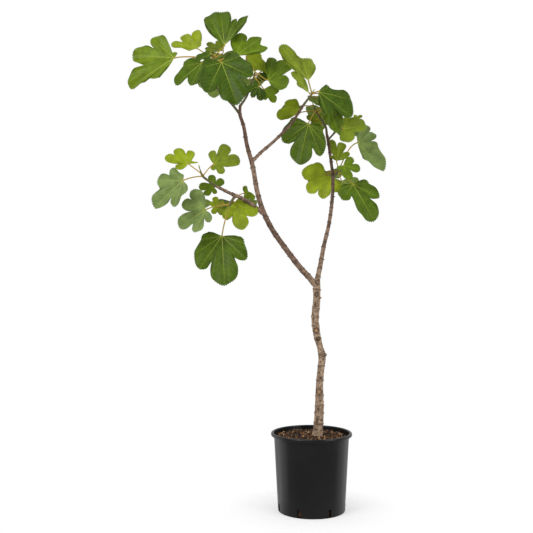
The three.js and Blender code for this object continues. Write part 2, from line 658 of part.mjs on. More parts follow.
addPiece('pot', potSolid(), 0x1b1c1f, 0.45);
addPiece('potting_mix', mixSolid(), 0x4a3428, 0.95);
for (const [name, { stations, seats, levelFoot }] of Object.entries(LIMBS)) {
  let limb = limbSolid(stations, { levelFoot });
  for (const seat of seats) {
    limb = limb.subtract(clearances[seat]);
  }
  addPiece(name, largestBody(limb), 0x74645a, 0.85);
}

const masses = Object.values(MASSES);
const statedLeaves = masses.map((mass) => mass.leaves.map((leaf) => ({ ...leaf, frame: frontFrame(leaf) })));
const taken = statedLeaves.flat().map(({ frame, lobes }) => {
  const length = Math.max(...lobes.map(([, reach]) => reach));
  return frame.base.clone().addScaledVector(frame.along, 0.5 * length);
});
const shown = statedLeaves.flat().map((leaf) => bladeOutline(leaf).map(seen));
Object.entries(MASSES).forEach(([name, mass], index) => {
  const carriers = mass.carriers.map((carrier) => clearances[carrier]);
  const leaves = [...statedLeaves[index], ...hiddenLeaves(mass, limbPoints, shown, taken)];
  addPiece(name, massSolid(mass, leaves, carriers), 0x4f7a35, 0.6);
});

export default tree;
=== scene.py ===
"""A young fig tree in a round nursery container: bark, shoots, leaves, container and potting mix.

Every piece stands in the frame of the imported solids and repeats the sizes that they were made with.
The tables are in millimetres and degrees, as a grower would measure the tree. Meshes, settings and
the stage are in metres.
"""

import functools
import math

import bpy
import numpy as np
from bpy.props import FloatProperty, FloatVectorProperty, IntProperty, PointerProperty
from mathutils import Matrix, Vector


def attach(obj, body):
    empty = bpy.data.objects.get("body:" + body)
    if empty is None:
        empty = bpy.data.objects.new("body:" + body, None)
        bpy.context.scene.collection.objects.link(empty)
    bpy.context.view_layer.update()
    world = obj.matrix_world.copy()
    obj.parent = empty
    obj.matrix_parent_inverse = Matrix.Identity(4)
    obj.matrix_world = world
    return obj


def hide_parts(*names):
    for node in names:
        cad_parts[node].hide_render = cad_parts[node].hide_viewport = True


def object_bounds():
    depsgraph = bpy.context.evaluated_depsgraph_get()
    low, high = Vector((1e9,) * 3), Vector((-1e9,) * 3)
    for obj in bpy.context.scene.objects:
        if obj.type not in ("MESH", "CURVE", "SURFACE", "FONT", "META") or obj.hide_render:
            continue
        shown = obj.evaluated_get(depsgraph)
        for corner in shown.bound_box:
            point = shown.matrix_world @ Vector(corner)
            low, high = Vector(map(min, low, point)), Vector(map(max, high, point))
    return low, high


bl_info = {
    "name": "Fig Tree in a Pot",
    "version": (1, 0, 0),
    "blender": (4, 5, 0),
    "location": "3D View > Sidebar > Fig Tree",
    "description": "Makes the bark, leaves, container and potting mix of a young fig tree",
    "category": "Add Mesh",
}

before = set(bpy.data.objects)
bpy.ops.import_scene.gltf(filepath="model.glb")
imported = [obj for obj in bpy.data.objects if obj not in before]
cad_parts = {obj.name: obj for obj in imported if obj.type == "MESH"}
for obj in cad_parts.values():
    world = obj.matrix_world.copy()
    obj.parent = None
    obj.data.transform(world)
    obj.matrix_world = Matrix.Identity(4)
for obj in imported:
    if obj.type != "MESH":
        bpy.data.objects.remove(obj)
CAD_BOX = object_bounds()

MM = 0.001
BAKE_MAP = "OFBake"

# -------- limbs, as [x, y, z, radius]

LIMBS = {
    "trunk": [
        [20, -4, 256, 19.2], [21, -4, 264, 17.6], [24, -4, 297, 16.2], [27, -2, 352, 15.4],
        [28, 0, 431, 12.4], [34, 3, 496, 11.8], [37, 4, 528, 13.2], [29, 4, 564, 10.6],
        [20, 3, 600, 12.4], [13, 2, 656, 12.8], [18, 1, 725, 12.6], [18, 0, 763, 12.8],
        [19, 0, 798, 11.2],
    ],
    "bough_left": [
        [11, 0, 779, 10.4], [-7, -1, 802, 10.2], [-36, -3, 833, 9.8], [-95, -8, 910, 9.3],
        [-137, -13, 970, 9.0], [-168, -18, 1034, 8.8], [-187, -23, 1097, 8.2],
        [-204, -29, 1189, 8.0], [-222, -34, 1255, 7.0], [-234, -38, 1321, 6.2],
        [-246, -42, 1359, 6.0], [-245, -44, 1393, 4.8],
    ],
    "bough_low": [
        [-167, -17, 1022, 7.2], [-184, -21, 1036, 7.2], [-211, -30, 1058, 6.9],
        [-249, -43, 1078, 6.4], [-284, -54, 1092, 5.6], [-325, -66, 1112, 4.8],
    ],
    "bough_centre": [
        [-204, -29, 1201, 6.0], [-176, -24, 1231, 5.8], [-130, -16, 1272, 5.4],
        [-69, -8, 1336, 5.0], [-28, -2, 1399, 4.6],
    ],
    "bough_right": [
        [19, 0, 789, 9.4], [29, 6, 836, 8.2], [43, 17, 908, 7.2], [62, 29, 986, 6.6],
        [73, 40, 1061, 6.2], [78, 51, 1145, 5.8], [69, 64, 1239, 5.3], [58, 74, 1312, 4.9],
    ],
}

# Heights of the rings that old leaves left round each limb
RINGS = {
    "trunk": [301, 336, 360, 396, 448, 497, 541, 592, 636, 668, 697, 762],
    "bough_left": [809, 829, 860, 881, 910, 950, 985, 1010, 1083, 1126, 1179, 1235, 1284, 1327, 1362],
    "bough_low": [1047, 1060, 1075, 1087, 1098, 1106],
    "bough_centre": [1211, 1230, 1248, 1288, 1314, 1347, 1374, 1390],
    "bough_right": [805, 835, 866, 908, 952, 996, 1022, 1047, 1067, 1086, 1130, 1163, 1212,
                    1243, 1273, 1302],
}

# How much of the dark young bark each limb has at some heights, as [height, share]
# It marks younger growth; on the low part of bough_left it is also painted shade
YOUNG_BARK = {
    "trunk": [[256, 0.0], [798, 0.0]],
    "bough_left": [[779, 0.25], [860, 0.72], [970, 0.85], [1034, 0.7], [1097, 0.5], [1189, 0.5],
                   [1255, 0.9]],
    "bough_low": [[1022, 0.45], [1112, 0.6]],
    "bough_centre": [[1201, 0.4], [1270, 0.6], [1399, 0.95]],
    "bough_right": [[789, 0.15], [908, 0.6], [1061, 0.7], [1145, 0.95], [1312, 1.0]],
}

# Bud bumps and branch scars of each limb: height, azimuth from +X towards +Y, width, rise and how
# amber they are (0 is dark)
KNOBS = {
    "trunk": [
        [786, -82, 6.0, 0.4, 0.0], [745, -95, 7.0, 1.1, 0.0], [733, -12, 4.6, 4.8, 1.0],
        [620, -96, 8.5, 1.8, 0.8], [592, -84, 6.0, 1.2, 0.0], [536, -12, 6.5, 5.0, 0.3],
        [457, -75, 3.6, 1.1, 0.0], [409, -100, 9.0, 1.8, 0.7], [372, 5, 3.0, 2.4, 0.1],
        [403, 5, 2.4, 1.4, 0.2], [668, 178, 3.0, 1.4, 0.2], [560, 150, 3.6, 1.6, 0.3],
        [480, 100, 5.0, 1.2, 0.6], [350, 80, 4.5, 1.1, 0.2], [700, 95, 5.0, 1.2, 0.5],
    ],
    "bough_left": [
        [864, 20, 3.6, 2.8, 0.1], [828, 190, 3.2, 2.0, 0.2], [862, 200, 3.0, 1.8, 0.5],
        [893, 200, 3.0, 1.8, 0.6], [951, 200, 3.0, 1.6, 0.5], [1084, -60, 2.6, 1.2, 0.1],
        [1179, 178, 3.2, 2.6, 0.5], [1236, -100, 3.6, 1.8, 0.4], [1284, 182, 2.8, 2.2, 0.4],
        [1327, 150, 2.6, 2.0, 0.2], [1150, 80, 3.0, 1.8, 0.3], [1010, 90, 3.4, 1.6, 0.3],
    ],
    "bough_low": [
        [1089, -150, 2.8, 4.4, 0.1], [1066, -60, 2.6, 1.4, 0.0], [1101, -80, 1.8, 1.0, 0.0],
    ],
    "bough_centre": [
        [1248, -50, 2.4, 1.8, 0.1], [1290, 120, 2.2, 1.6, 0.2], [1349, -60, 2.2, 1.4, 0.1],
    ],
    "bough_right": [
        [866, 0, 2.8, 2.0, 0.3], [910, 180, 2.6, 1.6, 0.6], [1086, 2, 2.6, 2.8, 0.1],
        [1067, 178, 2.6, 1.8, 0.5], [1022, -90, 2.8, 1.4, 0.4], [1212, 4, 2.2, 1.8, 0.1],
        [1302, -130, 2.8, 1.6, 1.0],
    ],
}

# -------- foliage
# Each mass grows from one stem that goes on from its bough. A leaf's row says its tone, where its
# stalk leaves the stem (at, 0 to 1), the foot of its blade (base), where the midrib points as seen
# from the front (aim, degrees from +X towards +Z), how far its tip leans to the front (lean), how far
# the blade is rolled about its midrib (turn), its lobes, webs and heels. lobes are [degrees from the
# midrib, reach], with the widest half angle where it isn't LOBE_SPREAD. webs say how deep the bays
# between them are cut, with the bay's angle where it isn't halfway, and heels, where they aren't
# HEEL_SPREAD, how many degrees the blade goes on past its first and last lobe. hidden is how many
# more leaves the growing rule sets on the far side from its seed, within the space (x, y and z limits).

LEAF_COLUMNS = ["tone", "at", "base", "aim", "lean", "turn", "lobes", "webs", "heels"]
MASSES = {
    "foliage_top_left": {
        "stem": [[-247, -42, 1361, 4.6], [-270, -46, 1390, 4.3], [-322, -52, 1447, 3.9],
                 [-338, -46, 1496, 3.6], [-336, -44, 1536, 3.0], [-335, -44, 1556, 1.4]],
        "leaves": [
            ["bright", 0.9, [-468, -60, 1548], -145, 5, -25,
             [[-16, 105], [2, 183], [43, 151], [80, 114], [135, 26]],
             [[0.93, -6], [0.71, 23], [0.7, 63], 0.8], [9, 20]],
            ["lime", 0.93, [-398, 20, 1601], 143, -20, -15,
             [[-52, 34], [-26, 97], [6, 85], [47, 77], [90, 24]], [0.9, 0.72, 0.55, 0.95], [12, 20]],
            ["deep", 0.95, [-299, -30, 1599], 100, -22, 10, [[-15, 150], [2, 147], [31, 110], [49, 133]],
             [0.98, [0.72, 23], 0.92], [16, 8]],
            ["olive", 0.86, [-308, 50, 1601], 151, -15, -35, [[-34, 65], [0, 71], [30, 54]], [0.8, 0.8]],
            ["dark", 0.98, [-342, -95, 1553], -154, 10, -20, [[-25, 34], [0, 57], [50, 22]], [0.9, 0.9]],
            ["deep", 0.88, [-366, -150, 1511], -112, 25, -15, [[0, 100], [24, 123], [54, 66]],
             [[0.8, 16], 0.95], [24, 30]],
            ["dark", 0.82, [-303, -150, 1511], -72, 25, 10,
             [[-92, 64], [-42, 118], [-2, 172], [34, 138], [80, 68]], [0.95, [0.79, -25], [0.72, 20], 0.97],
             [34, 40]],
            ["mid", 0.78, [-260, -40, 1560], 17, -10, 30, [[-54, 100], [-25, 122], [-2, 118]], [0.43, 0.93],
             [36, 12]],
        ],
        "hidden": 5, "seed": 11, "space": [[-520, -236], [-10, 250], [1400, 1680]],
    },
    "foliage_top_centre": {
        "stem": [[-245, -44, 1388, 4.4], [-224, -32, 1423, 4.0], [-209, -8, 1471, 3.6],
                 [-198, 12, 1501, 3.0], [-196, 14, 1516, 1.4]],
        "leaves": [
            # this leaf lies in the shade of the leaves above it: its tone paints light on it
            ["fresh", 0.95, [-227, 60, 1585], -40, 10, 20, [[-32, 58], [0, 98], [20, 59]], [0.95, 0.95]],
            ["mid", 0.98, [-150, 10, 1488], 33, -10, 30, [[-46, 103], [-14, 111, 30], [70, 83, 52]],
             [[0.83, -34], [0.54, 19]], [16, 28]],
            ["dark", 0.9, [-165, 60, 1494], 104, -10, 0, [[-39, 32], [0, 37], [45, 30]], [0.95, 0.95]],
            ["dark", 0.75, [-181, -30, 1458], -122, 20, -10, [[-35, 60], [0, 52], [35, 52], [104, 27]],
             [0.62, 0.7, 0.7]],
            ["bright", 0.8, [-165, 45, 1464], -50, 15, 10, [[-41, 56], [0, 66], [30, 46]], [0.8, 0.85]],
        ],
        "hidden": 3, "seed": 23, "space": [[-290, -60], [20, 260], [1380, 1620]],
    },
    "foliage_centre": {
        "stem": [[-28, -2, 1399, 4.2], [-13, 0, 1419, 4.0], [-2, 2, 1433, 3.4], [5, 2, 1445, 1.4]],
        "leaves": [
            ["light", 0.8, [-11, -10, 1482], 97, -5, -10, [[-33, 156], [-6, 84], [10, 81], [24, 67]],
             [[0.9, -19], 0.97, 0.97], [14, 14]],
            ["light", 0.7, [-11, -60, 1430], 129, -20, -30, [[-8, 60], [4, 110]], [0.98], [16, 16]],
            ["dark", 0.85, [24, 0, 1446], -38, 10, 25, [[-66, 44], [-26, 117], [0, 147], [36, 104]],
             [[0.94, -44], 0.95, [0.8, 12]], [24, 12]],
        ],
        "hidden": 3, "seed": 37, "space": [[-130, 140], [20, 260], [1405, 1640]],
    },
    "foliage_upper_right": {
        "stem": [[58, 74, 1312, 4.4], [55, 78, 1336, 4.0], [41, 76, 1359, 3.8], [26, 72, 1382, 3.4],
                 [14, 68, 1402, 2.6], [10, 66, 1412, 1.4]],
        "leaves": [
            ["lime", 0.72, [-41, 40, 1381], -169, 0, -25, [[4, 81, 32], [53, 68], [78, 58]],
             [[0.8, 38], 0.97], [26, 20]],
            ["deep", 0.66, [-10, 25, 1339], -103, 8, 0,
             [[-72, 60], [-50, 102], [-33, 124], [0, 149], [40, 114], [82, 68]],
             [0.95, 0.97, [0.72, -21], [0.7, 23], 0.95], [22, 20]],
            ["olive", 0.5, [43, 120, 1351], 146, -10, -20, [[-31, 42], [0, 66], [30, 53]], [0.9, 0.9]],
            ["mid", 0.6, [65, 40, 1403], -71, 20, -20, [[-14, 84], [4, 108], [24, 70]], [0.97, 0.97],
             [16, 14]],
        ],
        "hidden": 4, "seed": 41, "space": [[-150, 130], [90, 320], [1160, 1480]],
    },
    "foliage_right_upper": {
        "stem": [[62, 71, 1289, 4.0], [74, 69, 1302, 3.4], [84, 66, 1313, 3.0], [88, 64, 1320, 1.4]],
        "leaves": [
            ["light", 0.75, [111, 10, 1318], 5, 0, 25, [[-58, 52], [-6, 81], [80, 63, 48]],
             [0.97, [0.68, 29]], [32, 38]],
            ["light", 0.9, [157, 110, 1369], 27, -20, 20, [[-26, 24], [0, 40], [30, 26]], [0.9, 0.9]],
        ],
        "hidden": 2, "seed": 9, "space": [[60, 250], [112, 330], [1180, 1420]],
    },
    "foliage_right_lower": {
        "stem": [[78, 52, 1147, 4.2], [86, 50, 1161, 3.8], [94, 48, 1174, 3.2], [98, 48, 1182, 1.4]],
        "leaves": [
            ["blue", 0.98, [169, 90, 1283], -47, 10, 20,
             [[-108, 81], [-73, 76], [-36, 76], [1, 140], [18, 82]], [[0.8, -91], [0.62, -56], 0.97, 0.95],
             [30, 12]],
            # this leaf lies in the shade of leaves above and in front: its tone paints light on it
            ["fresh", 0.55, [57, 110, 1169], -133, 10, -15,
             [[-78, 86], [-36, 94], [2, 93], [53, 88], [92, 62]], [0.84, 0.62, 0.56, 0.95], [24, 30]],
            ["light", 0.92, [91, 50, 1213], 73, -25, 10, [[-62, 30], [-25, 92], [0, 85], [40, 56]],
             [0.85, 0.66, 0.6], [20, 24]],
            ["mid", 0.8, [111, 10, 1191], -13, 5, 25, [[-50, 46], [0, 61], [58, 63], [130, 28]],
             [0.7, 0.55, 0.8]],
            ["deep", 0.6, [147, 30, 1128], -63, 15, 10,
             [[-66, 58], [-34, 104], [-2, 153, 20], [58, 76], [92, 52]],
             [0.95, [0.79, -22], [0.56, 36], 0.95], [22, 20]],
        ],
        "hidden": 3, "seed": 67, "space": [[-20, 280], [110, 320], [1000, 1330]],
    },
    "foliage_low_left": {
        "stem": [[-325, -66, 1112, 4.4], [-350, -74, 1129, 4.1], [-370, -80, 1145, 3.6],
                 [-376, -82, 1158, 2.6], [-381, -84, 1173, 1.4]],
        "leaves": [
            ["lime", 0.6, [-418, -80, 1187], 127, -20, -20,
             [[-86, 50], [-40, 84], [-6, 76], [42, 54], [114, 33, 10]], [0.55, 0.66, 0.6, 0.5], [24, 8]],
            ["blue", 0.5, [-432, -130, 1125], -136, 8, -20,
             [[-58, 50], [-30, 98], [1, 131], [46, 88], [88, 60], [128, 26]], [0.9, 0.7, 0.88, 0.84, 0.9],
             [24, 16]],
            ["light", 0.55, [-335, -40, 1190], 8, -10, 25,
             [[-83, 52], [-48, 92], [-6, 94], [60, 52], [104, 30]], [0.7, 0.55, 0.75, 0.8]],
            ["mid", 0.4, [-338, 20, 1116], 175, 0, -20,
             [[-101, 28], [-47, 46], [0, 55], [71, 49], [131, 45]], [0.6, 0.6, 0.55, 0.6]],
        ],
        "hidden": 1, "seed": 79, "space": [[-560, -250], [0, 260], [1000, 1290]],
    },
    "foliage_low_under": {
        "stem": [[-265, -48, 1082, 4.6], [-268, -49, 1074, 4.2], [-276, -51, 1060, 3.8],
                 [-283, -53, 1046, 2.6]],
        "leaves": [
            ["blue", 0.9, [-359, -120, 1029], -140, 12, -20,
             [[-66, 52], [-27, 90], [6, 106], [60, 83], [98, 84]], [0.68, 0.6, 0.48, 0.68], [26, 30]],
            # lime here also paints light on a leaf that lies in the shade of others
            ["lime", 0.85, [-325, -10, 1048], 99, -20, 0,
             [[-140, 33], [-55, 31], [-6, 40], [60, 30], [150, 40]], [0.5, 0.6, 0.6, 0.5]],
            ["lime", 0.5, [-266, -22, 1060], -72, 15, 10, [[-92, 36], [-46, 90], [-1, 101], [46, 72]],
             [0.95, 0.6, [0.66, 27]], [30, 22]],
            ["bright", 0.6, [-232, 10, 1095], -28, 0, 10, [[-110, 28], [0, 42], [40, 28]], [0.6, 0.9]],
            ["deep", 0.98, [-306, -70, 944], -86, 18, -5,
             [[-64, 86], [-40, 122], [0, 174], [36, 139], [58, 114], [82, 72]],
             [0.97, [0.78, -24], [0.7, 22], 0.97, 0.95], [16, 28]],
        ],
        "hidden": 3, "seed": 83, "space": [[-440, -170], [0, 260], [780, 1080]],
    },
}
TONES = ["dark", "deep", "mid", "bright", "light", "lime", "fresh", "olive", "blue"]
HIDDEN_TONES = ["mid", "deep", "light", "bright", "olive"]

LOBE_POINT = 1.6  # exponents of a lobe's outline: lower is more pointed
LOBE_FULLNESS = 0.2  # and lower is fuller at the sides
LOBE_SPREAD = 27  # widest half angle of a lobe, in degrees
HEEL_SPREAD = 32  # the same on the outer side of the last lobe
HEEL_REACH = 0.34  # the blade's foot beside the stalk, as a share of the last lobe
LOBE_SHOULDERS = [0.5, 0.87]  # shares of the spread where the edge is held before a bay
LOBE_OVERLAP = 1.1  # a lobe spreads no wider than this share of the way to its bay
WEB_START = 0.3  # from this share of that way the web holds the edge out
JOINED = 0.95  # from this share lobes have grown into each other without a bay
SHALLOW = 0.86  # and from this one the bay between them is shallow
BAY_CUT = 0.92  # a thin blade's bays are cut this much deeper than the solid's
BLADE_FOLD = 8  # degrees that each half rises from the midrib
BLADE_DROOP = 0.06  # fall of the tip, as a share of the length
STALK_LIFT = 0.15  # how steeply a stalk leaves the stem

# The growing rule for the leaves of the far side
HIDDEN = {
    "at": [0.45, 0.95], "azimuth": [20, 160], "stalk": [40, 120], "stalk_rise": [-10, 50],
    "length": [60, 110], "droop": [10, 60], "lobes": [[-50, 0.82], [0, 1], [50, 0.82]],
    "webs": [0.6, 0.6], "heels": [60, 60], "tries": 3000, "covered": 0.8,
    "limb_clearance": 12, "limb_clearance_share": 0.4, "leaf_clearance": 46,
}
EYE = [-156, -2940, 841]  # where the tree is looked at from the front
LIMB_CHECK_STEPS = 4  # points between two stations of a limb, for the clearances
STEM_STEPS = 2  # and of a mass's stem, where its stalks may leave it

# -------- container and mix

# rim, collar, body_top and base are outer radii
POT = {
    "height": 268, "rim": 140, "lip_depth": 10, "lip_overhang": 10, "collar": 131.5, "collar_depth": 8,
    "body_top": 129.6, "base": 115.8, "wall": 2.2, "floor": 3,
}
ROUND = {"foot": 1.5, "collar": 1.2, "lip_under": 2.2, "lip_outside": 4, "lip_inside": 3.5}
WALL_ROWS = [60, 120, 180, 230]  # heights of the rows of points up the wall's outer side
INNER_ROWS = [200, 140, 70]  # and down its inner side
SLOT = {"count": 7, "width": 14, "low": 3, "high": 29, "first": -113.5, "strips": 4}
MIX_TOP = 255.7  # level of the mix in the middle
MIX_DISH = 3  # how much lower it is at the wall
MIX_GAP = 0.6  # clearance to the container's wall and floor


# -------- small helpers

def unit(vector):
    return vector / np.linalg.norm(vector)


def between(limits, share):
    return limits[0] + (limits[1] - limits[0]) * share


def bell(distance, width):
    return np.exp(-(distance / width) ** 2)


def random_numbers(seed):
    """Repeatable numbers from 0 to 1, the same as those the solids were grown with."""
    mask = 0xFFFFFFFF
    state = seed & mask
    while True:
        state = (state + 0x6D2B79F5) & mask
        mixed = ((state ^ (state >> 15)) * (state | 1)) & mask
        mixed ^= (mixed + (mixed ^ (mixed >> 7)) * (mixed | 61)) & mask
        yield (mixed ^ (mixed >> 14)) / 4294967296


def limb_rings(stations, steps_between):
    """Centres, directions and radii along a limb, smoothed through its stations."""
    points = [np.array(station[:3], float) for station in stations]
    points = [2 * points[0] - points[1], *points, 2 * points[-1] - points[-2]]
    last = len(stations) - 1
    centres, axes, radii = [], [], []
    for step in range(last * steps_between + 1):
        station = min(step // steps_between, last - 1)
        share = step / steps_between - station
        p0, p1, p2, p3 = points[station:station + 4]
        d0, d1, d2 = (np.linalg.norm(b - a) ** 0.5 for a, b in ((p0, p1), (p1, p2), (p2, p3)))
        start = ((p1 - p0) / d0 - (p2 - p0) / (d0 + d1) + (p2 - p1) / d1) * d1
        end = ((p2 - p1) / d1 - (p3 - p1) / (d1 + d2) + (p3 - p2) / d2) * d1
        square = -3 * p1 + 3 * p2 - 2 * start - end
        cube = 2 * p1 - 2 * p2 + start + end
        centres.append(p1 + share * (start + share * (square + share * cube)))
        axes.append(unit(start + share * (2 * square + 3 * share * cube)))
        radii.append(between([stations[station][3], stations[station + 1][3]], share))
    return np.array(centres), np.array(axes), np.array(radii)


def smooth_through(x, y, at):
    """Values of a smooth line through points, which never swings past them."""
    step = np.diff(x)
    slope = np.diff(y) / step
    onward = slope[:-1] * slope[1:] > 0
    before, after = 2 * step[1:] + step[:-1], step[1:] + 2 * step[:-1]
    even = before / np.where(onward, slope[:-1], 1) + after / np.where(onward, slope[1:], 1)
    inner = np.where(onward, (before + after) / np.where(onward, even, 1), 0)
    tangent = np.concatenate([[slope[0]], inner, [slope[-1]]])
    index = np.clip(np.searchsorted(x, at, side="right") - 1, 0, len(step) - 1)
    share = (at - x[index]) / step[index]
    rest = 1 - share
    line = y[index] * (1 + 2 * share) * rest ** 2 + y[index + 1] * share ** 2 * (1 + 2 * rest)
    return line + step[index] * share * rest * (tangent[index] * rest - tangent[index + 1] * share)


def run_length(points):
    return np.concatenate([[0], np.cumsum(np.linalg.norm(np.diff(points, axis=0), axis=1))])


# -------- meshes

class Heap:
    """Points and faces of one piece while it grows. Each face has a material number, and each of
    its corners a place on the bake map."""

    def __init__(self):
        self.points, self.values = [], []
        self.faces, self.kinds, self.places = [], [], []
        self.count = 0

    def add_points(self, points, values=(0.0, 0.0, 0.0)):
        first = self.count
        self.points.append(np.asarray(points, float))
        self.values.append(np.broadcast_to(np.asarray(values, float), (len(points), 3)))
        self.count += len(points)
        return first

    def add_faces(self, faces, kind, places):
        """faces are rows of 3 or 4 point numbers, and places the (u, v) of each of their corners."""
        self.faces.append(np.asarray(faces, int))
        self.kinds.append(np.full(len(faces), kind))
        self.places.append(np.asarray(places, float).reshape(-1, 2))

    def mesh(self, name, sharp=60):
        mesh = bpy.data.meshes.new(name)
        points = np.concatenate(self.points) * MM
        corners = np.concatenate([group.ravel() for group in self.faces])
        sizes = np.concatenate([np.full(len(group), group.shape[1]) for group in self.faces])
        starts = np.concatenate([[0], np.cumsum(sizes)[:-1]])
        mesh.vertices.add(len(points))
        mesh.vertices.foreach_set("co", points.ravel())
        mesh.loops.add(len(corners))
        mesh.loops.foreach_set("vertex_index", corners)
        mesh.polygons.add(len(sizes))
        mesh.polygons.foreach_set("loop_start", starts)
        mesh.polygons.foreach_set("material_index", np.concatenate(self.kinds))
        mesh.update(calc_edges=True)
        places = mesh.uv_layers.new(name=BAKE_MAP)
        places.data.foreach_set("uv", np.concatenate(self.places).ravel())
        ribs = mesh.attributes.new("rib", "FLOAT_VECTOR", "POINT")
        ribs.data.foreach_set("vector", np.concatenate(self.values).ravel())
        finish_shading(mesh, sharp)
        return mesh


def new_object(name, data):
    made = bpy.data.objects.new(name, data)
    bpy.context.scene.collection.objects.link(made)
    return made


def finish_shading(mesh, sharp):
    """Smooth faces, with an edge wherever they meet at more than sharp degrees."""
    mesh.polygons.foreach_set("use_smooth", np.ones(len(mesh.polygons), bool))
    mesh.set_sharp_from_angle(angle=math.radians(sharp))
    mesh.update()


def add_piece(name, mesh, materials, nodes=()):
    """Shows a finished mesh as a piece of the tree that rides with it. materials are those that the
    mesh doesn't have yet."""
    piece = new_object(name, mesh)
    for material in materials:
        mesh.materials.append(material)
    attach(piece, "root")
    if nodes:
        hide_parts(*nodes)
    return piece


def evaluated_mesh(carrier):
    """The mesh that an object's modifiers make of it; the object itself is removed."""
    bpy.context.view_layer.update()
    graph = bpy.context.evaluated_depsgraph_get()
    mesh = bpy.data.meshes.new_from_object(carrier.evaluated_get(graph))
    old = carrier.data
    bpy.data.objects.remove(carrier)
    bpy.data.meshes.remove(old)
    return mesh


# -------- node trees

class Signal:
    """A number on its way through a node tree. Arithmetic on it adds Math nodes."""

    def __init__(self, sheet, socket):
        self.sheet = sheet
        self.socket = socket

    def __add__(self, other):
        return self.sheet.maths("ADD", self, other)

    __radd__ = __add__

    def __sub__(self, other):
        return self.sheet.maths("SUBTRACT", self, other)

    def __rsub__(self, other):
        return self.sheet.maths("SUBTRACT", other, self)

    def __mul__(self, other):
        return self.sheet.maths("MULTIPLY", self, other)

    __rmul__ = __mul__

    def __pow__(self, other):
        return self.sheet.maths("POWER", self, other)


class Sheet:
    """A node tree that is being written."""

    def __init__(self, tree):
        self.tree = tree

    def feed(self, socket, value):
        if isinstance(value, Signal):
            value = value.socket
        if isinstance(value, bpy.types.NodeSocket):
            self.tree.links.new(value, socket)
        else:
            socket.default_value = value

    def node(self, kind, settings=None, sockets=None):
        made = self.tree.nodes.new(kind)
        for name, value in (settings or {}).items():
            setattr(made, name, value)
        for name, value in (sockets or {}).items():
            self.feed(made.inputs[name], value)
        return made

    def maths(self, operation, first, second):
        made = self.node("ShaderNodeMath", {"operation": operation}, {0: first, 1: second})
        return Signal(self, made.outputs[0])

    def clamped(self, value):
        made = self.node("ShaderNodeClamp", None, {"Value": value})
        return Signal(self, made.outputs[0])

    def mix(self, first, second, share):
        """One colour turning into another."""
        made = self.node("ShaderNodeMix", {"data_type": "RGBA"}, {0: share, 6: first, 7: second})
        return made.outputs[2]

    def vector_maths(self, operation, sockets):
        return self.node("ShaderNodeVectorMath", {"operation": operation}, sockets).outputs[0]

    def scaled(self, vector, factor):
        return self.vector_maths("SCALE", {0: vector, "Scale": factor})


class Finish(Sheet):
    """A material's node tree, with one shader."""

    def __init__(self, name):
        self.material = bpy.data.materials.new(name)
        self.material.use_nodes = True
        super().__init__(self.material.node_tree)
        self.shader = self.tree.nodes["Principled BSDF"]

    def place(self):
        return self.node("ShaderNodeTexCoord").outputs["Object"]

    def noise(self, scale, detail=3.0, roughness=0.55, stretch=(1, 1, 1), over=None):
        """Cloudy noise over the object or a vector, with scale patches to the metre where stretch is 1."""
        vector = self.vector_maths("MULTIPLY", {0: over or self.place(), 1: stretch})
        made = self.node("ShaderNodeTexNoise", None, {
            "Vector": vector, "Scale": scale, "Detail": detail, "Roughness": roughness,
        })
        return Signal(self, made.outputs[0])

    def attribute(self, name):
        return self.node("ShaderNodeAttribute", {"attribute_name": name})

    def value_of(self, name):
        return Signal(self, self.attribute(name).outputs["Fac"])

    def set(self, **sockets):
        for name, value in sockets.items():
            self.feed(self.shader.inputs[name.replace("_", " ")], value)

    def relief(self, height, distance, strength=1.0):
        """Fine relief that is too small for the mesh."""
        bump = self.node("ShaderNodeBump", None, {
            "Strength": strength, "Distance": distance, "Height": height,
        })
        self.set(Normal=bump.outputs[0])


def shade(tint, factor):
    """A lighter or darker colour."""
    return tuple(min(1.0, part * factor) for part in tint[:3]) + (1.0,)


def blended(first, second, share):
    return tuple(a + (b - a) * share for a, b in zip(first[:3], second[:3])) + (1.0,)


# -------- settings

def amount(name, description, default, **limits):
    return FloatProperty(name=name, description=description, default=default, **limits)


def length(name, description, default):
    return amount(name, description, default, min=0.0, unit="LENGTH")


def colour(name, description, default):
    return FloatVectorProperty(
        name=name, description=description, default=default, subtype="COLOR", size=3, min=0.0, max=1.0,
    )


class FigWoodSettings(bpy.types.PropertyGroup):
    """Sizes and colours of the bark"""

    grain: length("Mesh grain", "Side of the small squares of the bark's mesh", 0.0015)
    ring_rise: length("Ring rise", "How far a leaf ring stands out of the bark", 0.0014)
    furrow: length("Furrow depth", "Depth of the furrows along the limbs", 0.0004)
    # light and dark: a lit and a shaded copy of the bark, painted on its ridges and in its hollows
    light: colour("Old bark, light", "Ridges of the old bark", (0.44, 0.315, 0.215))
    dark: colour("Old bark, dark", "Hollows of the old bark", (0.085, 0.048, 0.028))
    young: colour("Young bark", "Bark of the last years' growth", (0.105, 0.058, 0.04))
    amber: colour("Scar", "Fresh scars and bud scales", (0.42, 0.22, 0.07))


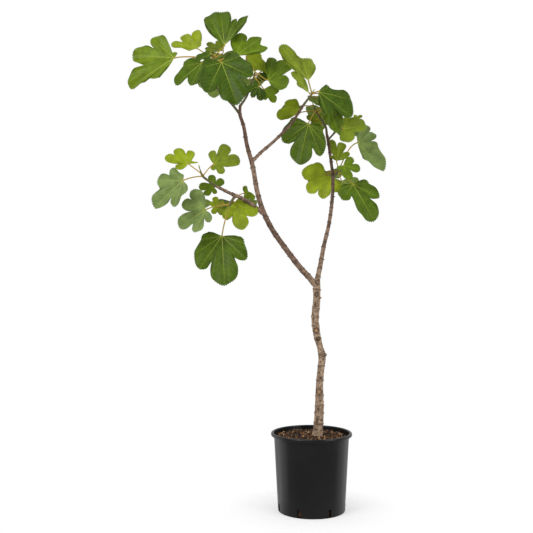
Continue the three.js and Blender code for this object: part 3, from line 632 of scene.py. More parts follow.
class FigLeafSettings(bpy.types.PropertyGroup):
    """Sizes and colours of the leaves"""

    thickness: length("Blade thickness", "Thickness of a leaf blade", 0.0007)
    tooth: length("Tooth", "Length of a tooth on the edge of a large leaf", 0.0078)
    vein: length("Vein", "Width of a large leaf's main vein at its foot", 0.0024)
    stalk: length("Stalk", "Radius of a leaf stalk half way along", 0.0021)
    dark: colour("Dark", "Old leaves", (0.046, 0.092, 0.002))
    deep: colour("Deep", "Leaves in the shade of others", (0.07, 0.125, 0.003))
    mid: colour("Mid", "Full-grown leaves", (0.105, 0.175, 0.004))
    bright: colour("Bright", "Young full-grown leaves", (0.135, 0.21, 0.004))
    light: colour("Light", "Leaves with a pale bloom", (0.165, 0.225, 0.012))
    # lime is partly painted light: it also stands for light through thin leaves and brightens a shaded leaf
    lime: colour("Lime", "The youngest leaves", (0.24, 0.31, 0.008))
    # painted light: a lighter copy of the leaf colour, for leaves that lie in the shade of others
    fresh: colour("Fresh", "Thin young leaves that let light through", (0.34, 0.43, 0.018))
    olive: colour("Olive", "Leaves that turn their underside", (0.17, 0.23, 0.01))
    # painted sheen: the bluish tint stands for light reflected off the glossy blade, over its green
    blue: colour("Blue", "Leaves with a waxy bloom", (0.17, 0.245, 0.066))
    # partly painted light: lighter and greener than a felted underside, so undersides in shade look lit
    pale: colour("Underside", "Felted underside", (0.3, 0.41, 0.1))
    rib: colour("Veins", "Main veins and side veins", (0.42, 0.46, 0.05))
    amber: colour("Stalks", "Leaf stalks", (0.5, 0.29, 0.025))


class FigPotSettings(bpy.types.PropertyGroup):
    """Finish of the container"""

    plastic: colour("Plastic", "Moulded black plastic", (0.003, 0.003, 0.0034))
    dust: colour("Dust", "Dust that dulls the plastic", (0.022, 0.021, 0.02))
    columns: IntProperty(name="Columns", description="Columns between two slots", default=20, min=6)


class FigMixSettings(bpy.types.PropertyGroup):
    """Potting mix and the bark chips on it"""

    chip: length("Chip length", "Length of a large bark chip", 0.019)
    chips: IntProperty(name="Chips", description="Chips for each square metre", default=14000, min=0)
    # partly painted shade: the peat is darker than peat, standing for the shade in the gaps between chips
    peat: colour("Peat", "Fine dark part of the mix", (0.012, 0.006, 0.003))
    brown: colour("Brown chips", "Most of the bark chips", (0.11, 0.042, 0.012))
    tan: colour("Tan chips", "Paler wood chips", (0.72, 0.45, 0.22))


class FigStageSettings(bpy.types.PropertyGroup):
    """Camera, lights and floor"""

    lens: amount("Lens", "Focal length", 57.4, subtype="DISTANCE_CAMERA")
    distance: length("Camera distance", "From the tree to the camera", 2.94)
    eye: length("Camera height", "Height of the camera above the floor", 0.841)
    aside: amount("Camera aside", "How far right the camera stands", -0.1556, unit="LENGTH")
    sky: amount("Sky", "Strength of the light from all round", 0.6, min=0)
    backdrop: amount("Backdrop", "Brightness behind the tree", 1.0, min=0)
    key: amount("Key light", "Power of the main soft light", 70, min=0, unit="POWER")
    floor: colour("Floor", "Pale floor", (0.98, 0.98, 0.98))


# -------- stage

# Soft square lights: place, side and share of the key light's power
LIGHTS = {
    "key_light": ((-2.4, -2.2, 3.0), 1.8, 1.0),
    "fill_light": ((2.4, -1.9, 1.6), 1.6, 0.6),
    "left_light": ((-2.5, 0.9, 0.2), 2.2, 0.15),
    "right_light": ((2.5, 0.9, 0.2), 2.2, 0.08),
}
FLOOR_REACH = 3.0  # half the floor's side
FLOOR_COVER = 0.85  # how opaque the floor is under the container
FLOOR_FADE = 2.7  # and how much of that it loses with each metre


def add_camera(settings):
    camera = new_object("camera", bpy.data.cameras.new("camera"))
    camera.data.lens = settings.lens
    camera.location = (settings.aside, -settings.distance, settings.eye)
    camera.rotation_euler = (math.pi / 2, 0, 0)
    bpy.context.scene.camera = camera


def add_sky(settings):
    """Light from all round, with a backdrop of its own brightness where the camera sees it."""
    world = bpy.data.worlds.new("soft sky")
    world.use_nodes = True
    sheet = Sheet(world.node_tree)
    background = world.node_tree.nodes["Background"]
    in_view = Signal(sheet, sheet.node("ShaderNodeLightPath").outputs["Is Camera Ray"])
    strength = in_view * (settings.backdrop - settings.sky) + settings.sky
    sheet.feed(background.inputs["Color"], (1, 1, 1, 1))
    sheet.feed(background.inputs["Strength"], strength)
    bpy.context.scene.world = world
    bpy.context.scene.view_settings.view_transform = "Standard"


def add_lights(settings):
    """The lights all face the middle of the tree."""
    target = (CAD_BOX[0] + CAD_BOX[1]) / 2
    for name, (place, side, share) in LIGHTS.items():
        light = bpy.data.lights.new(name, "AREA")
        light.energy = settings.key * share
        light.size = side
        lamp = new_object(name, light)
        lamp.location = place
        lamp.rotation_euler = (target - lamp.location).to_track_quat("-Z", "Y").to_euler()


def add_floor(settings):
    """A pale floor that fades out round the container."""
    floor = bpy.data.meshes.new("floor")
    corners = [(x * FLOOR_REACH, y * FLOOR_REACH, 0) for x, y in ((-1, -1), (1, -1), (1, 1), (-1, 1))]
    floor.from_pydata(corners, [], [(0, 1, 2, 3)])
    finish = Finish("floor")
    away = finish.node("ShaderNodeVectorMath", {"operation": "LENGTH"}, {0: finish.place()})
    cover = finish.clamped(FLOOR_COVER - Signal(finish, away.outputs["Value"]) * FLOOR_FADE)
    finish.set(Base_Color=(*settings.floor, 1), Roughness=0.9, Alpha=cover)
    floor.materials.append(finish.material)
    ground = new_object("floor", floor)


class FIG_OT_stage(bpy.types.Operator):
    """Make the camera, the soft studio lights and the pale floor"""

    bl_idname = "fig.stage"
    bl_label = "Stage"

    def execute(self, context):
        settings = context.scene.fig_stage
        add_camera(settings)
        add_sky(settings)
        add_lights(settings)
        add_floor(settings)
        return {"FINISHED"}


# -------- container

def wall_radius(height):
    """The outer radius of the tapered wall."""
    return between([POT["base"], POT["body_top"]], height / (POT["height"] - POT["lip_depth"]))


def arc(radius, x, z, start, end, count):
    """Points of a round corner in the profile, angles in degrees from outwards to up."""
    turns = np.radians(np.linspace(start, end, count))
    return [(x + radius * math.cos(turn), z + radius * math.sin(turn)) for turn in turns]


def pot_profile():
    """The section of the wall from the middle of the underside over the lip to the middle of the
    floor, and the rows where the slots begin on its outer side and end on its inner side."""
    foot, collar, under, outside, inside = ROUND.values()
    lip_bottom = POT["height"] - POT["lip_depth"]
    collar_bottom = lip_bottom - POT["collar_depth"]
    inner = POT["rim"] - POT["lip_overhang"]
    profile = [(0, 0), (60, 0), (POT["base"] - 6, 0), (POT["base"] - foot, 0)]
    profile += arc(foot, wall_radius(foot) - foot, foot, -60, 0, 3)
    low_outside = len(profile)
    profile += [(wall_radius(height), height) for height in (SLOT["low"], SLOT["high"], *WALL_ROWS)]
    profile += [(wall_radius(collar_bottom - 1), collar_bottom - 1)]
    profile += arc(collar, POT["collar"] - collar, collar_bottom + collar + 0.4, -70, 0, 4)
    profile += [(POT["collar"], lip_bottom - 1), (POT["collar"] + 0.6, lip_bottom)]
    profile += arc(under, POT["rim"] - under, lip_bottom + under, -80, 0, 4)
    profile += arc(outside, POT["rim"] - outside, POT["height"] - outside, 0, 90, 7)
    profile += arc(inside, inner + inside, POT["height"] - inside, 90, 180, 6)
    profile += [(inner, lip_bottom + 2), (wall_radius(lip_bottom) - POT["wall"], collar_bottom)]
    high_inside = len(profile) + len(INNER_ROWS)
    for height in (*INNER_ROWS, SLOT["high"], SLOT["low"]):
        profile.append((wall_radius(height) - POT["wall"], height))
    profile += [(70, POT["floor"]), (0, POT["floor"])]
    return profile, low_outside, high_inside


def pot_columns(columns):
    """Azimuths of the columns, in radians, and whether each strip between two columns is a slot."""
    pitch = 2 * math.pi / SLOT["count"]
    half = SLOT["width"] / 2 / POT["base"]
    strips = SLOT["strips"]
    turns, open_strips = [], []
    for index in range(SLOT["count"]):
        middle = math.radians(SLOT["first"]) + index * pitch
        turns += list(middle - half + np.arange(strips) * 2 * half / strips)
        turns += list(middle + half + np.arange(columns) * (pitch - 2 * half) / columns)
        open_strips += [True] * strips + [False] * columns
    return turns, open_strips


def slot_faces(outside, inside, count, column, after, open_strips):
    """The faces through the wall round one strip of a slot: the sill, the head and, where the strip
    beside it is closed, a jamb. outside and inside are the first points of the rows below the slot's
    edge on the outer side and above it on the inner side."""
    def jamb(edge):
        return [outside + edge, inside + count + edge, inside + edge, outside + count + edge]

    faces = [
        (outside + column, outside + after, inside + count + after, inside + count + column),
        (outside + count + column, inside + column, inside + after, outside + count + after),
    ]
    if not open_strips[column - 1]:
        faces.append(jamb(column))
    if not open_strips[after]:
        faces.append(jamb(after)[::-1])
    return faces


def pot_mesh(columns):
    profile, low_outside, high_inside = pot_profile()
    turns, open_strips = pot_columns(columns)
    count, last = len(turns), len(profile) - 3
    points = []
    for radius, height in profile[1:-1]:
        points += [(radius * math.cos(turn), radius * math.sin(turn), height) for turn in turns]
    points += [(0, 0, profile[0][1]), (0, 0, profile[-1][1])]
    rise = run_length(np.array(profile))
    rise = rise / rise[-1]
    quads, quad_places, ends, end_places = [], [], [], []
    outside, inside = low_outside - 1, high_inside - 1
    for column in range(count):
        after = (column + 1) % count
        left, right = column / count, (column + 1) / count
        middle = (left + right) / 2
        for row in range(last):
            if row in (outside, inside) and open_strips[column]:
                continue
            a, b = row * count + column, row * count + after
            quads.append((a, b, b + count, a + count))
            low, high = rise[row + 1], rise[row + 2]
            quad_places.append(((left, low), (right, low), (right, high), (left, high)))
        ends.append((len(points) - 2, after, column))
        end_places.append(((middle, 0), (right, rise[1]), (left, rise[1])))
        ends.append((len(points) - 1, last * count + column, last * count + after))
        end_places.append(((middle, 1), (left, rise[-2]), (right, rise[-2])))
        if open_strips[column]:
            through = slot_faces(outside * count, inside * count, count, column, after, open_strips)
            quads += through
            quad_places += [((left, 0), (right, 0), (right, 0.01), (left, 0.01))] * len(through)
    heap = Heap()
    heap.add_points(points)
    heap.add_faces(quads, 0, quad_places)
    heap.add_faces(ends, 0, end_places)
    return heap.mesh("pot_shell", sharp=40)


def plastic_finish(settings):
    finish = Finish("pot_plastic")
    cloud = finish.noise(9, 4)
    specks = finish.noise(260, 3)
    dust = finish.clamped((cloud - 0.45) * 1.6)
    finish.set(
        Base_Color=finish.mix((*settings.plastic, 1), (*settings.dust, 1), dust * 0.3),
        Roughness=0.2 + dust * 0.1 + specks * 0.06,
        Specular_IOR_Level=0.27,
    )
    finish.relief(specks + cloud, 0.0002, 0.5)
    return finish.material


class FIG_OT_pot(bpy.types.Operator):
    """Make the round container with its rolled lip, collar and drainage slots"""

    bl_idname = "fig.pot"
    bl_label = "Container"

    def execute(self, context):
        settings = context.scene.fig_pot
        mesh = pot_mesh(settings.columns)
        add_piece("pot_shell", mesh, [plastic_finish(settings)], ["pot"])
        return {"FINISHED"}


# -------- potting mix

MIX_RADIUS = 120  # where the dish has its full depth
MIX_SINK = 1.5  # how far the lumps lie below the solid's top
MIX_RINGS, MIX_SPOKES = 44, 132  # points of the plug from the middle to the wall, and round it
MIX_WALL = [[200, 0], [130, 0], [60, 0], [34, 0], [27, 5], [9, 6]]  # height and crumbled depth
MIX_FOOT_CRUMBLED = 3
GROUND_RINGS, GROUND_SPOKES = 40, 96
CHIP_SEED = 31
CHIP_MARGIN = 9  # chips keep this far from the container's wall
CHIP_TILT = 0.32  # how far chips may lie from flat, in radians
CHIP_LEAST = (0.3, 0.28)  # least length and width, to the chip length
CHIP_MOST = (0.85, 0.7)  # greatest ones
CHIP_RAGGED = 0.28  # how far corners are pushed about, to the chip length


def mix_heights(x, y):
    """Lumps and dish of the mix, measured from its top level, in millimetres."""
    lumps = 1.3 * np.sin(x / 7 + 1.3) * np.cos(y / 8.5) + 0.7 * np.sin(x / 3.7 + 1.9 * np.sin(y / 9))
    lumps += 0.5 * np.sin(x / 2.3 + 0.7) * np.cos(y / 2.9 + 1.6 * np.sin(x / 6))
    return lumps - MIX_DISH * (np.hypot(x, y) / MIX_RADIUS) ** 2 - MIX_SINK


def full_circle(count):
    return np.arange(count) * 2 * math.pi / count


def mix_grid(rings, spokes, radius):
    """Rings of points over a disc, without its middle one."""
    spread = np.linspace(0, radius, rings + 1)[1:]
    turns = full_circle(spokes)
    return np.outer(spread, np.cos(turns)).ravel(), np.outer(spread, np.sin(turns)).ravel()


def ring_quads(rows, spokes):
    """Faces between rows of points that each run once round."""
    left = np.arange((rows - 1) * spokes).reshape(rows - 1, spokes)
    right = np.roll(left, -1, axis=1)
    return np.stack([left, left + spokes, right + spokes, right], axis=-1).reshape(-1, 4)


def mix_mesh():
    """The whole plug of mix: a lumpy top, a wall that follows the container, some of it crumbled away
    behind the slots, and a flat foot."""
    foot = POT["floor"] + MIX_GAP
    x, y = mix_grid(MIX_RINGS, MIX_SPOKES, wall_radius(MIX_TOP - MIX_DISH) - POT["wall"] - MIX_GAP)
    points = [(0, 0, MIX_TOP + mix_heights(0.0, 0.0))]
    points += list(zip(x, y, MIX_TOP + mix_heights(x, y)))
    turns = full_circle(MIX_SPOKES)
    for level, crumbled in (*MIX_WALL, (foot, MIX_FOOT_CRUMBLED)):
        radius = wall_radius(level) - POT["wall"] - MIX_GAP - crumbled * (0.6 + 0.4 * np.sin(17 * turns))
        points += list(zip(radius * np.cos(turns), radius * np.sin(turns), np.full(MIX_SPOKES, level)))
    points.append((0, 0, foot))
    rows = MIX_RINGS + len(MIX_WALL) + 1
    quads = ring_quads(rows, MIX_SPOKES) + 1
    ring = 1 + np.arange(MIX_SPOKES)
    after, down = np.roll(ring, -1), (rows - 1) * MIX_SPOKES
    top, bottom = np.zeros_like(ring), np.full_like(ring, len(points) - 1)
    fans = np.stack([top, ring, after, bottom, after + down, ring + down], axis=1).reshape(-1, 3)
    heap = Heap()
    heap.add_points(points)
    from_above = np.array(points)[:, :2] / (2.2 * POT["rim"]) + 0.5
    heap.add_faces(quads, 0, from_above[quads])
    heap.add_faces(fans, 0, from_above[fans])
    return heap.mesh("mix_plug", sharp=80)


def mix_ground():
    """The part of the top that chips may lie on: clear of the wall and of the trunk's foot."""
    x, y = mix_grid(GROUND_RINGS, GROUND_SPOKES, wall_radius(MIX_TOP) - CHIP_MARGIN)
    z = MIX_TOP + mix_heights(x, y)
    trunk_x, trunk_y, _, trunk_radius = LIMBS["trunk"][0]
    clear = np.hypot(x - trunk_x, y - trunk_y) > trunk_radius - 1
    quads = ring_quads(GROUND_RINGS, GROUND_SPOKES)
    mesh = bpy.data.meshes.new("mix_ground")
    mesh.from_pydata(list(zip(x * MM, y * MM, z * MM)), [], quads[clear[quads].all(axis=1)].tolist())
    return mesh


def peat_finish(settings):
    finish = Finish("peat")
    crumbs = finish.noise(240, 5, 0.7)
    clods = finish.noise(60, 3)
    share = finish.clamped((crumbs * 0.9 + clods * 0.7 - 0.8) * 3.2)
    # the dark peat colour is partly painted shade of the gaps between the chips
    finish.set(Base_Color=finish.mix((*settings.peat, 1), shade(settings.brown, 1.4), share),
               Roughness=0.95)
    finish.relief(crumbs, 0.002)
    return finish.material


def chip_finish(name, tint):
    finish = Finish(name)
    fibres = finish.noise(330, 4, 0.65, stretch=(1, 1, 3))
    lumps = finish.noise(62, 1)
    share = finish.clamped((fibres * 0.5 + lumps - 0.72) * 3.5 + 0.5)
    # the chips' own uneven tone, spread so wide that its light and dark also paint highlights and shade
    finish.set(Base_Color=finish.mix(shade(tint, 0.2), shade(tint, 1.6), share), Roughness=0.92)
    finish.relief(fibres, 0.0008)
    return finish.material


def new_tree(name, inputs):
    """An empty geometry tree with the mesh and the named inputs going in and a mesh coming out."""
    tree = bpy.data.node_groups.new(name, "GeometryNodeTree")
    tree.interface.new_socket(name="Mesh", in_out="INPUT", socket_type="NodeSocketGeometry")
    tree.interface.new_socket(name="Mesh", in_out="OUTPUT", socket_type="NodeSocketGeometry")
    for label, kind in inputs.items():
        tree.interface.new_socket(name=label, in_out="INPUT", socket_type="NodeSocket" + kind)
    sheet = Sheet(tree)
    return sheet, sheet.node("NodeGroupInput").outputs


def close_tree(sheet, geometry, *coats):
    """Realizes what the tree made, gives it its materials and hands it out. A coat is a material and
    the faces that it is for."""
    done = sheet.node("GeometryNodeRealizeInstances", None, {0: geometry})
    for material, faces in coats:
        done = sheet.node("GeometryNodeSetMaterial", None, {
            "Geometry": done.outputs[0], "Selection": faces, "Material": material,
        })
    sheet.node("NodeGroupOutput", None, {0: done.outputs[0]})
    return sheet.tree


def grown(name, ground, tree, values):
    """The plain mesh that a geometry tree makes of a mesh."""
    carrier = new_object(name, ground)
    modifier = carrier.modifiers.new(name, "NODES")
    modifier.node_group = tree
    for item in tree.interface.items_tree:
        if item.item_type == "SOCKET" and item.in_out == "INPUT" and item.name in values:
            modifier[item.identifier] = values[item.name]
    mesh = evaluated_mesh(carrier)
    mesh.name = name
    while None in mesh.materials[:]:
        mesh.materials.pop(index=mesh.materials[:].index(None))
    return mesh


def chip_tree():
    """Scatters broken bark chips over a mesh."""
    sheet, given = new_tree("Bark chips", {
        "Chips per square metre": "Float", "Chip length": "Float", "Flatness": "Float",
        "Seed": "Int", "Material": "Material",
    })
    spots = sheet.node("GeometryNodeDistributePointsOnFaces", None, {
        "Mesh": given["Mesh"], "Density": given["Chips per square metre"], "Seed": given["Seed"],
    })
    lump = sheet.node("GeometryNodeMeshIcoSphere", None, {"Radius": 0.5, "Subdivisions": 1})
    tilt = sheet.node("FunctionNodeRandomValue", {"data_type": "FLOAT_VECTOR"}, {
        0: (-CHIP_TILT, -CHIP_TILT, 0.0), 1: (CHIP_TILT, CHIP_TILT, 6.28), 8: given["Seed"],
    })
    flatness = Signal(sheet, given["Flatness"])
    least, most = (
        sheet.node("ShaderNodeCombineXYZ", None, {0: long, 1: wide, 2: thick})
        for (long, wide), thick in ((CHIP_LEAST, flatness), (CHIP_MOST, flatness * 2.0))
    )
    spread = sheet.node("FunctionNodeRandomValue", {"data_type": "FLOAT_VECTOR"}, {
        0: least.outputs[0], 1: most.outputs[0], 8: Signal(sheet, given["Seed"]) + 7,
    })
    laid = sheet.node("GeometryNodeInstanceOnPoints", None, {
        "Points": spots.outputs[0], "Instance": lump.outputs[0],
        "Rotation": tilt.outputs[0], "Scale": sheet.scaled(spread.outputs[0], given["Chip length"]),
    })
    real = sheet.node("GeometryNodeRealizeInstances", None, {0: laid.outputs[0]})
    ragged = sheet.node("ShaderNodeTexNoise", None, {"Scale": 210.0, "Detail": 1.0})
    centred = sheet.vector_maths("SUBTRACT", {0: ragged.outputs[1], 1: (0.5, 0.5, 0.5)})
    moved = sheet.node("GeometryNodeSetPosition", None, {
        "Geometry": real.outputs[0],
        "Offset": sheet.scaled(centred, Signal(sheet, given["Chip length"]) * CHIP_RAGGED),
    })
    return close_tree(sheet, moved.outputs[0], (given["Material"], True))


def chip_kinds(settings):
    """For each kind its share of the settings' number and length of chips, its flatness and tint."""
    return {
        "brown": (0.9, 1.0, 0.4, settings.brown),
        "dark": (1.4, 0.9, 0.45, shade(settings.brown, 0.12)),
        "pale": (0.4, 0.85, 0.4, blended(settings.brown, settings.tan, 0.3)),
        "tan": (0.22, 0.9, 0.36, settings.tan),
    }


class FIG_OT_mix(bpy.types.Operator):
    """Make the potting mix and scatter bark chips on it"""

    bl_idname = "fig.mix"
    bl_label = "Potting mix"

    def execute(self, context):
        settings = context.scene.fig_mix
        add_piece("mix_plug", mix_mesh(), [peat_finish(settings)], ["potting_mix"])
        tree = chip_tree()
        kinds = chip_kinds(settings).items()
        for number, (kind, (density, size, flatness, tint)) in enumerate(kinds):
            name = "chips_" + kind
            mesh = grown(name, mix_ground(), tree, {
                "Chips per square metre": density * settings.chips,
                "Chip length": size * settings.chip,
                "Flatness": flatness,
                "Seed": CHIP_SEED + number,
                "Material": chip_finish(name, tint),
            })
            if not mesh.polygons:
                raise RuntimeError("no chips were scattered for " + name)
            add_piece(name, mesh, [])
        return {"FINISHED"}


# -------- bark

LIMB_STEPS = 24  # points between two stations of a limb
TUBE_SIDES = 30
RING_SWELL = 0.07  # how far a limb swells at a leaf ring, to its radius
SWELL_WIDTH = 7.0
RING_SLANT = 0.18  # how far rings lean, to the radius
FURROW_DEPTHS = [0.4, 1.2]  # furrows are less deep on thin limbs, down to the first share
FLARE_HEIGHT, FLARE_RISE = 16, 1.2
FOOT_FADE = 6  # the relief dies away over this height above the mix


class Limb:
    """A limb's line, from its stations, with the places of its rings."""

    def __init__(self, name, stations):
        self.name = name
        self.centres, self.axes, self.radii = limb_rings(stations, LIMB_STEPS)
        self.along = run_length(self.centres)
        sides = [np.array([0.0, 1.0, 0.0])]
        for axis in self.axes:
            sides.append(unit(sides[-1] - sides[-1].dot(axis) * axis))
        self.sides = np.array(sides[1:])
        self.rings = self.at_height(RINGS[name])

    def at_height(self, heights):
        """Length along the limb where its line reaches a height."""
        order = np.argsort(self.centres[:, 2])
        return np.interp(heights, self.centres[order, 2], self.along[order])

    def surface_point(self, height, azimuth):
        """A point on the plain limb at a height, on the side that faces an azimuth in degrees."""
        place, turn = self.at_height(height), math.radians(azimuth)
        middle = np.array([np.interp(place, self.along, self.centres[:, axis]) for axis in range(3)])
        radial = np.array([math.cos(turn), math.sin(turn), 0.0])
        return middle + radial * np.interp(place, self.along, self.radii)

    def tube(self):
        """A plain closed tube along the limb, swollen at its rings, as points and faces."""
        turns = full_circle(TUBE_SIDES)
        across = np.cross(self.axes, self.sides)
        gaps = self.along[:, None] - self.rings[None, :]
        swell = (bell(gaps, SWELL_WIDTH) * RING_SWELL * self.radii[:, None]).sum(axis=1)
        rim = (self.sides[:, None] * np.cos(turns)[None, :, None]
               + across[:, None] * np.sin(turns)[None, :, None]) * (self.radii + swell)[:, None, None]
        points = (self.centres[:, None] + rim).reshape(-1, 3)
        faces = ring_quads(len(self.along), TUBE_SIDES)[:, ::-1].tolist()
        faces += [range(TUBE_SIDES)[::-1], range(len(points) - TUBE_SIDES, len(points))]
        return points, faces


def bark_blank(limbs, grain):
    """One closed mesh of all limbs, in even small squares, with the forks run into each other."""
    mesh = bpy.data.meshes.new("bark_blank")
    points, faces = [], []
    for limb in limbs:
        tube_points, tube_faces = limb.tube()
        faces += [[corner + len(points) for corner in face] for face in tube_faces]
        points += (tube_points * MM).tolist()
    mesh.from_pydata(points, [], faces)
    carrier = new_object("bark_blank", mesh)
    even = carrier.modifiers.new("even squares", "REMESH")
    even.mode = "VOXEL"
    even.voxel_size = grain
    soften = carrier.modifiers.new("soft forks", "SMOOTH")
    soften.factor = 0.5
    soften.iterations = 6
    return evaluated_mesh(carrier)


def limb_places(points, limbs):
    """For every point the limb it lies on, its length along it, its turn about it, the limb's
    radius there and the direction outwards."""
    margin, batch = 30, 4000
    best = np.full(len(points), np.inf)
    number = np.zeros(len(points), int)
    along, turn, radius = (np.zeros(len(points)) for _ in range(3))
    outwards = np.zeros((len(points), 3))
    for index, limb in enumerate(limbs):
        low = limb.centres.min(axis=0) - margin
        high = limb.centres.max(axis=0) + margin
        near = np.nonzero(((points > low) & (points < high)).all(axis=1))[0]
        for part in np.array_split(near, max(1, len(near) // batch)):
            gaps = points[part][:, None] - limb.centres[None]
            distance = np.linalg.norm(gaps, axis=2) - limb.radii[None]
            nearest = distance.argmin(axis=1)
            closest = distance[np.arange(len(part)), nearest]
            offset = gaps[np.arange(len(part)), nearest]
            axis = limb.axes[nearest]
            slip = (offset * axis).sum(axis=1)
            offset = offset - slip[:, None] * axis
            won = closest < best[part]
            chosen = part[won]
            best[chosen] = closest[won]
            number[chosen] = index
            along[chosen] = (limb.along[nearest] + slip)[won]
            radius[chosen] = limb.radii[nearest][won]
            side = limb.sides[nearest]
            across = np.cross(axis, side)
            turn[chosen] = np.arctan2((offset * across).sum(axis=1), (offset * side).sum(axis=1))[won]
            outwards[chosen] = (offset / np.linalg.norm(offset, axis=1, keepdims=True))[won]
    return number, along, turn, radius, outwards


def furrows(turn, along, number):
    """Uneven furrows that run along the limbs, from -1 to 1."""
    phase = number * 1.7
    waves = 0.5 * np.sin(5 * turn + along / 31 + phase) + 0.35 * np.sin(9 * turn - along / 19 + 2 * phase)
    waves += 0.3 * np.sin(14 * turn + along / 12 + 1.1)
    wrinkles = 0.35 * np.sin(along / 1.9 + 2.2 * np.sin(3 * turn + along / 23))
    wrinkles += 0.3 * np.sin(along / 3.1 + 1.4 * np.cos(4 * turn) + phase)
    return waves + wrinkles


def ring_relief(limbs, number, along, turn, radius):
    """The ridge and groove of every leaf ring, to the rings' rise, and the painted shade between them."""
    relief, shadow = np.zeros((2, len(along)))
    for index, limb in enumerate(limbs):
        mine = number == index
        for place in limb.rings:
            gap = along[mine] - place - RING_SLANT * radius[mine] * np.sin(turn[mine] + place)
            relief[mine] += bell(gap, 1.7) - 0.5 * bell(gap - 3.4, 1.8)
            shadow[mine] += bell(gap - 1.5, 2.4)
    return relief, np.clip(shadow, 0, 1)


def knob_relief(points, limbs):
    """The relief of the bumps and scars in millimetres, and how amber and how dark the bark is there.
    Each has a shallow groove and a dark rim round it."""
    relief, amber, dark = np.zeros((3, len(points)))
    for limb in limbs:
        for height, azimuth, width, rise, warmth in KNOBS[limb.name]:
            spot = limb.surface_point(height, azimuth)
            away = np.linalg.norm(points - spot, axis=1) / width
            relief += rise * (bell(away, 0.75) - 0.35 * bell(away - 1.2, 0.35))
            amber += warmth * bell(away, 0.62)
            dark += 0.55 * (1 - warmth) * bell(away, 0.6) + bell(away - 1.05, 0.36)
    return relief, np.clip(amber, 0, 1), np.clip(dark, 0, 1)


def shape_bark(mesh, limbs, settings):
    """Gives the blank its relief, and its points the values that the bark's finish reads."""
    points = np.empty(len(mesh.vertices) * 3)
    mesh.vertices.foreach_get("co", points)
    points = points.reshape(-1, 3) / MM
    number, along, turn, radius, outwards = limb_places(points, limbs)
    rings, ring_shadow = ring_relief(limbs, number, along, turn, radius)
    knobs, amber, dark = knob_relief(points, limbs)
    above_mix = points[:, 2] - LIMBS["trunk"][0][2]
    lift = settings.furrow / MM * furrows(turn, along, number) * np.clip(radius / 10, *FURROW_DEPTHS)
    lift += settings.ring_rise / MM * rings + knobs
    lift += bell(above_mix, FLARE_HEIGHT) * FLARE_RISE * np.cos(4 * turn + 0.8)
    points += outwards * (lift * np.clip(above_mix / FOOT_FADE, 0, 1))[:, None]
    mesh.vertices.foreach_set("co", (points * MM).ravel())
    young = np.zeros(len(points))
    for index, limb in enumerate(limbs):
        heights, shares = np.array(YOUNG_BARK[limb.name]).T
        young[number == index] = np.interp(points[number == index, 2], heights, shares)
    grain = np.stack([radius * np.cos(turn), radius * np.sin(turn), along + 500 * number], axis=1) * MM
    for name, values in {
        "young": young, "ring": ring_shadow, "amber": amber, "dark": dark, "grain": grain,
    }.items():
        store(mesh, name, values)
    finish_shading(mesh, 180)


def store(mesh, name, values):
    """Keeps a number or a vector for each point of a mesh."""
    vector = values.ndim == 2
    layer = mesh.attributes.new(name, "FLOAT_VECTOR" if vector else "FLOAT", "POINT")
    layer.data.foreach_set("vector" if vector else "value", values.ravel())


def bark_finish(settings):
    finish = Finish("bark")
    grain = finish.attribute("grain").outputs["Vector"]
    streaks = finish.noise(420, 4, 0.6, stretch=(1, 1, 0.15), over=grain)
    bands = finish.noise(110, 3, 0.6, stretch=(1, 1, 0.75), over=grain)
    wrinkles = finish.noise(330, 4, 0.65, stretch=(0.25, 0.25, 1.2), over=grain)
    clouds = finish.noise(45, 3, over=grain)
    young = finish.value_of("young")
    # painted light on the ridges and painted shade in the hollows, over the bark's own uneven tone
    share = finish.clamped((streaks * 0.4 + bands * 0.75 + wrinkles * 0.6 + clouds * 0.35 - 0.9) * 4.2)
    old_bark = finish.mix((*settings.dark, 1), (*settings.light, 1), share)
    young_bark = finish.mix(shade(settings.young, 0.4), shade(settings.young, 1.6), share)
    bark = finish.mix(old_bark, young_bark, finish.clamped(young + (clouds - 0.5) * 0.4))
    partly = finish.clamped(clouds * 3.0 + bands - 1.5)
    # painted shade: the dark line beside each leaf ring, where the clouds let it show
    ring_shaded = finish.mix(bark, shade(settings.dark, 0.7), finish.value_of("ring") * partly)
    spotted = finish.mix(ring_shaded, shade(settings.dark, 0.35), finish.value_of("dark") * 0.85)
    finish.set(
        Base_Color=finish.mix(spotted, (*settings.amber, 1), finish.value_of("amber") * 0.85),
        Roughness=0.86 - young * 0.22,
        Specular_IOR_Level=0.25,
    )
    finish.relief(streaks * 0.6 + wrinkles * 0.5 + bands * 0.8, 0.0016)
    return finish.material


class FIG_OT_bark(bpy.types.Operator):
    """Make the bark of the trunk and the boughs, with its rings, buds and scars"""

    bl_idname = "fig.bark"
    bl_label = "Bark"

    def execute(self, context):
        settings = context.scene.fig_wood
        limbs = [Limb(name, stations) for name, stations in LIMBS.items()]
        mesh = bark_blank(limbs, settings.grain)
        if not mesh.polygons:
            raise RuntimeError("the bark came out empty")
        shape_bark(mesh, limbs, settings)
        mesh.name = "bark"
        add_piece("bark", mesh, [bark_finish(settings)], list(LIMBS))
        return {"FINISHED"}


# -------- how leaves grow

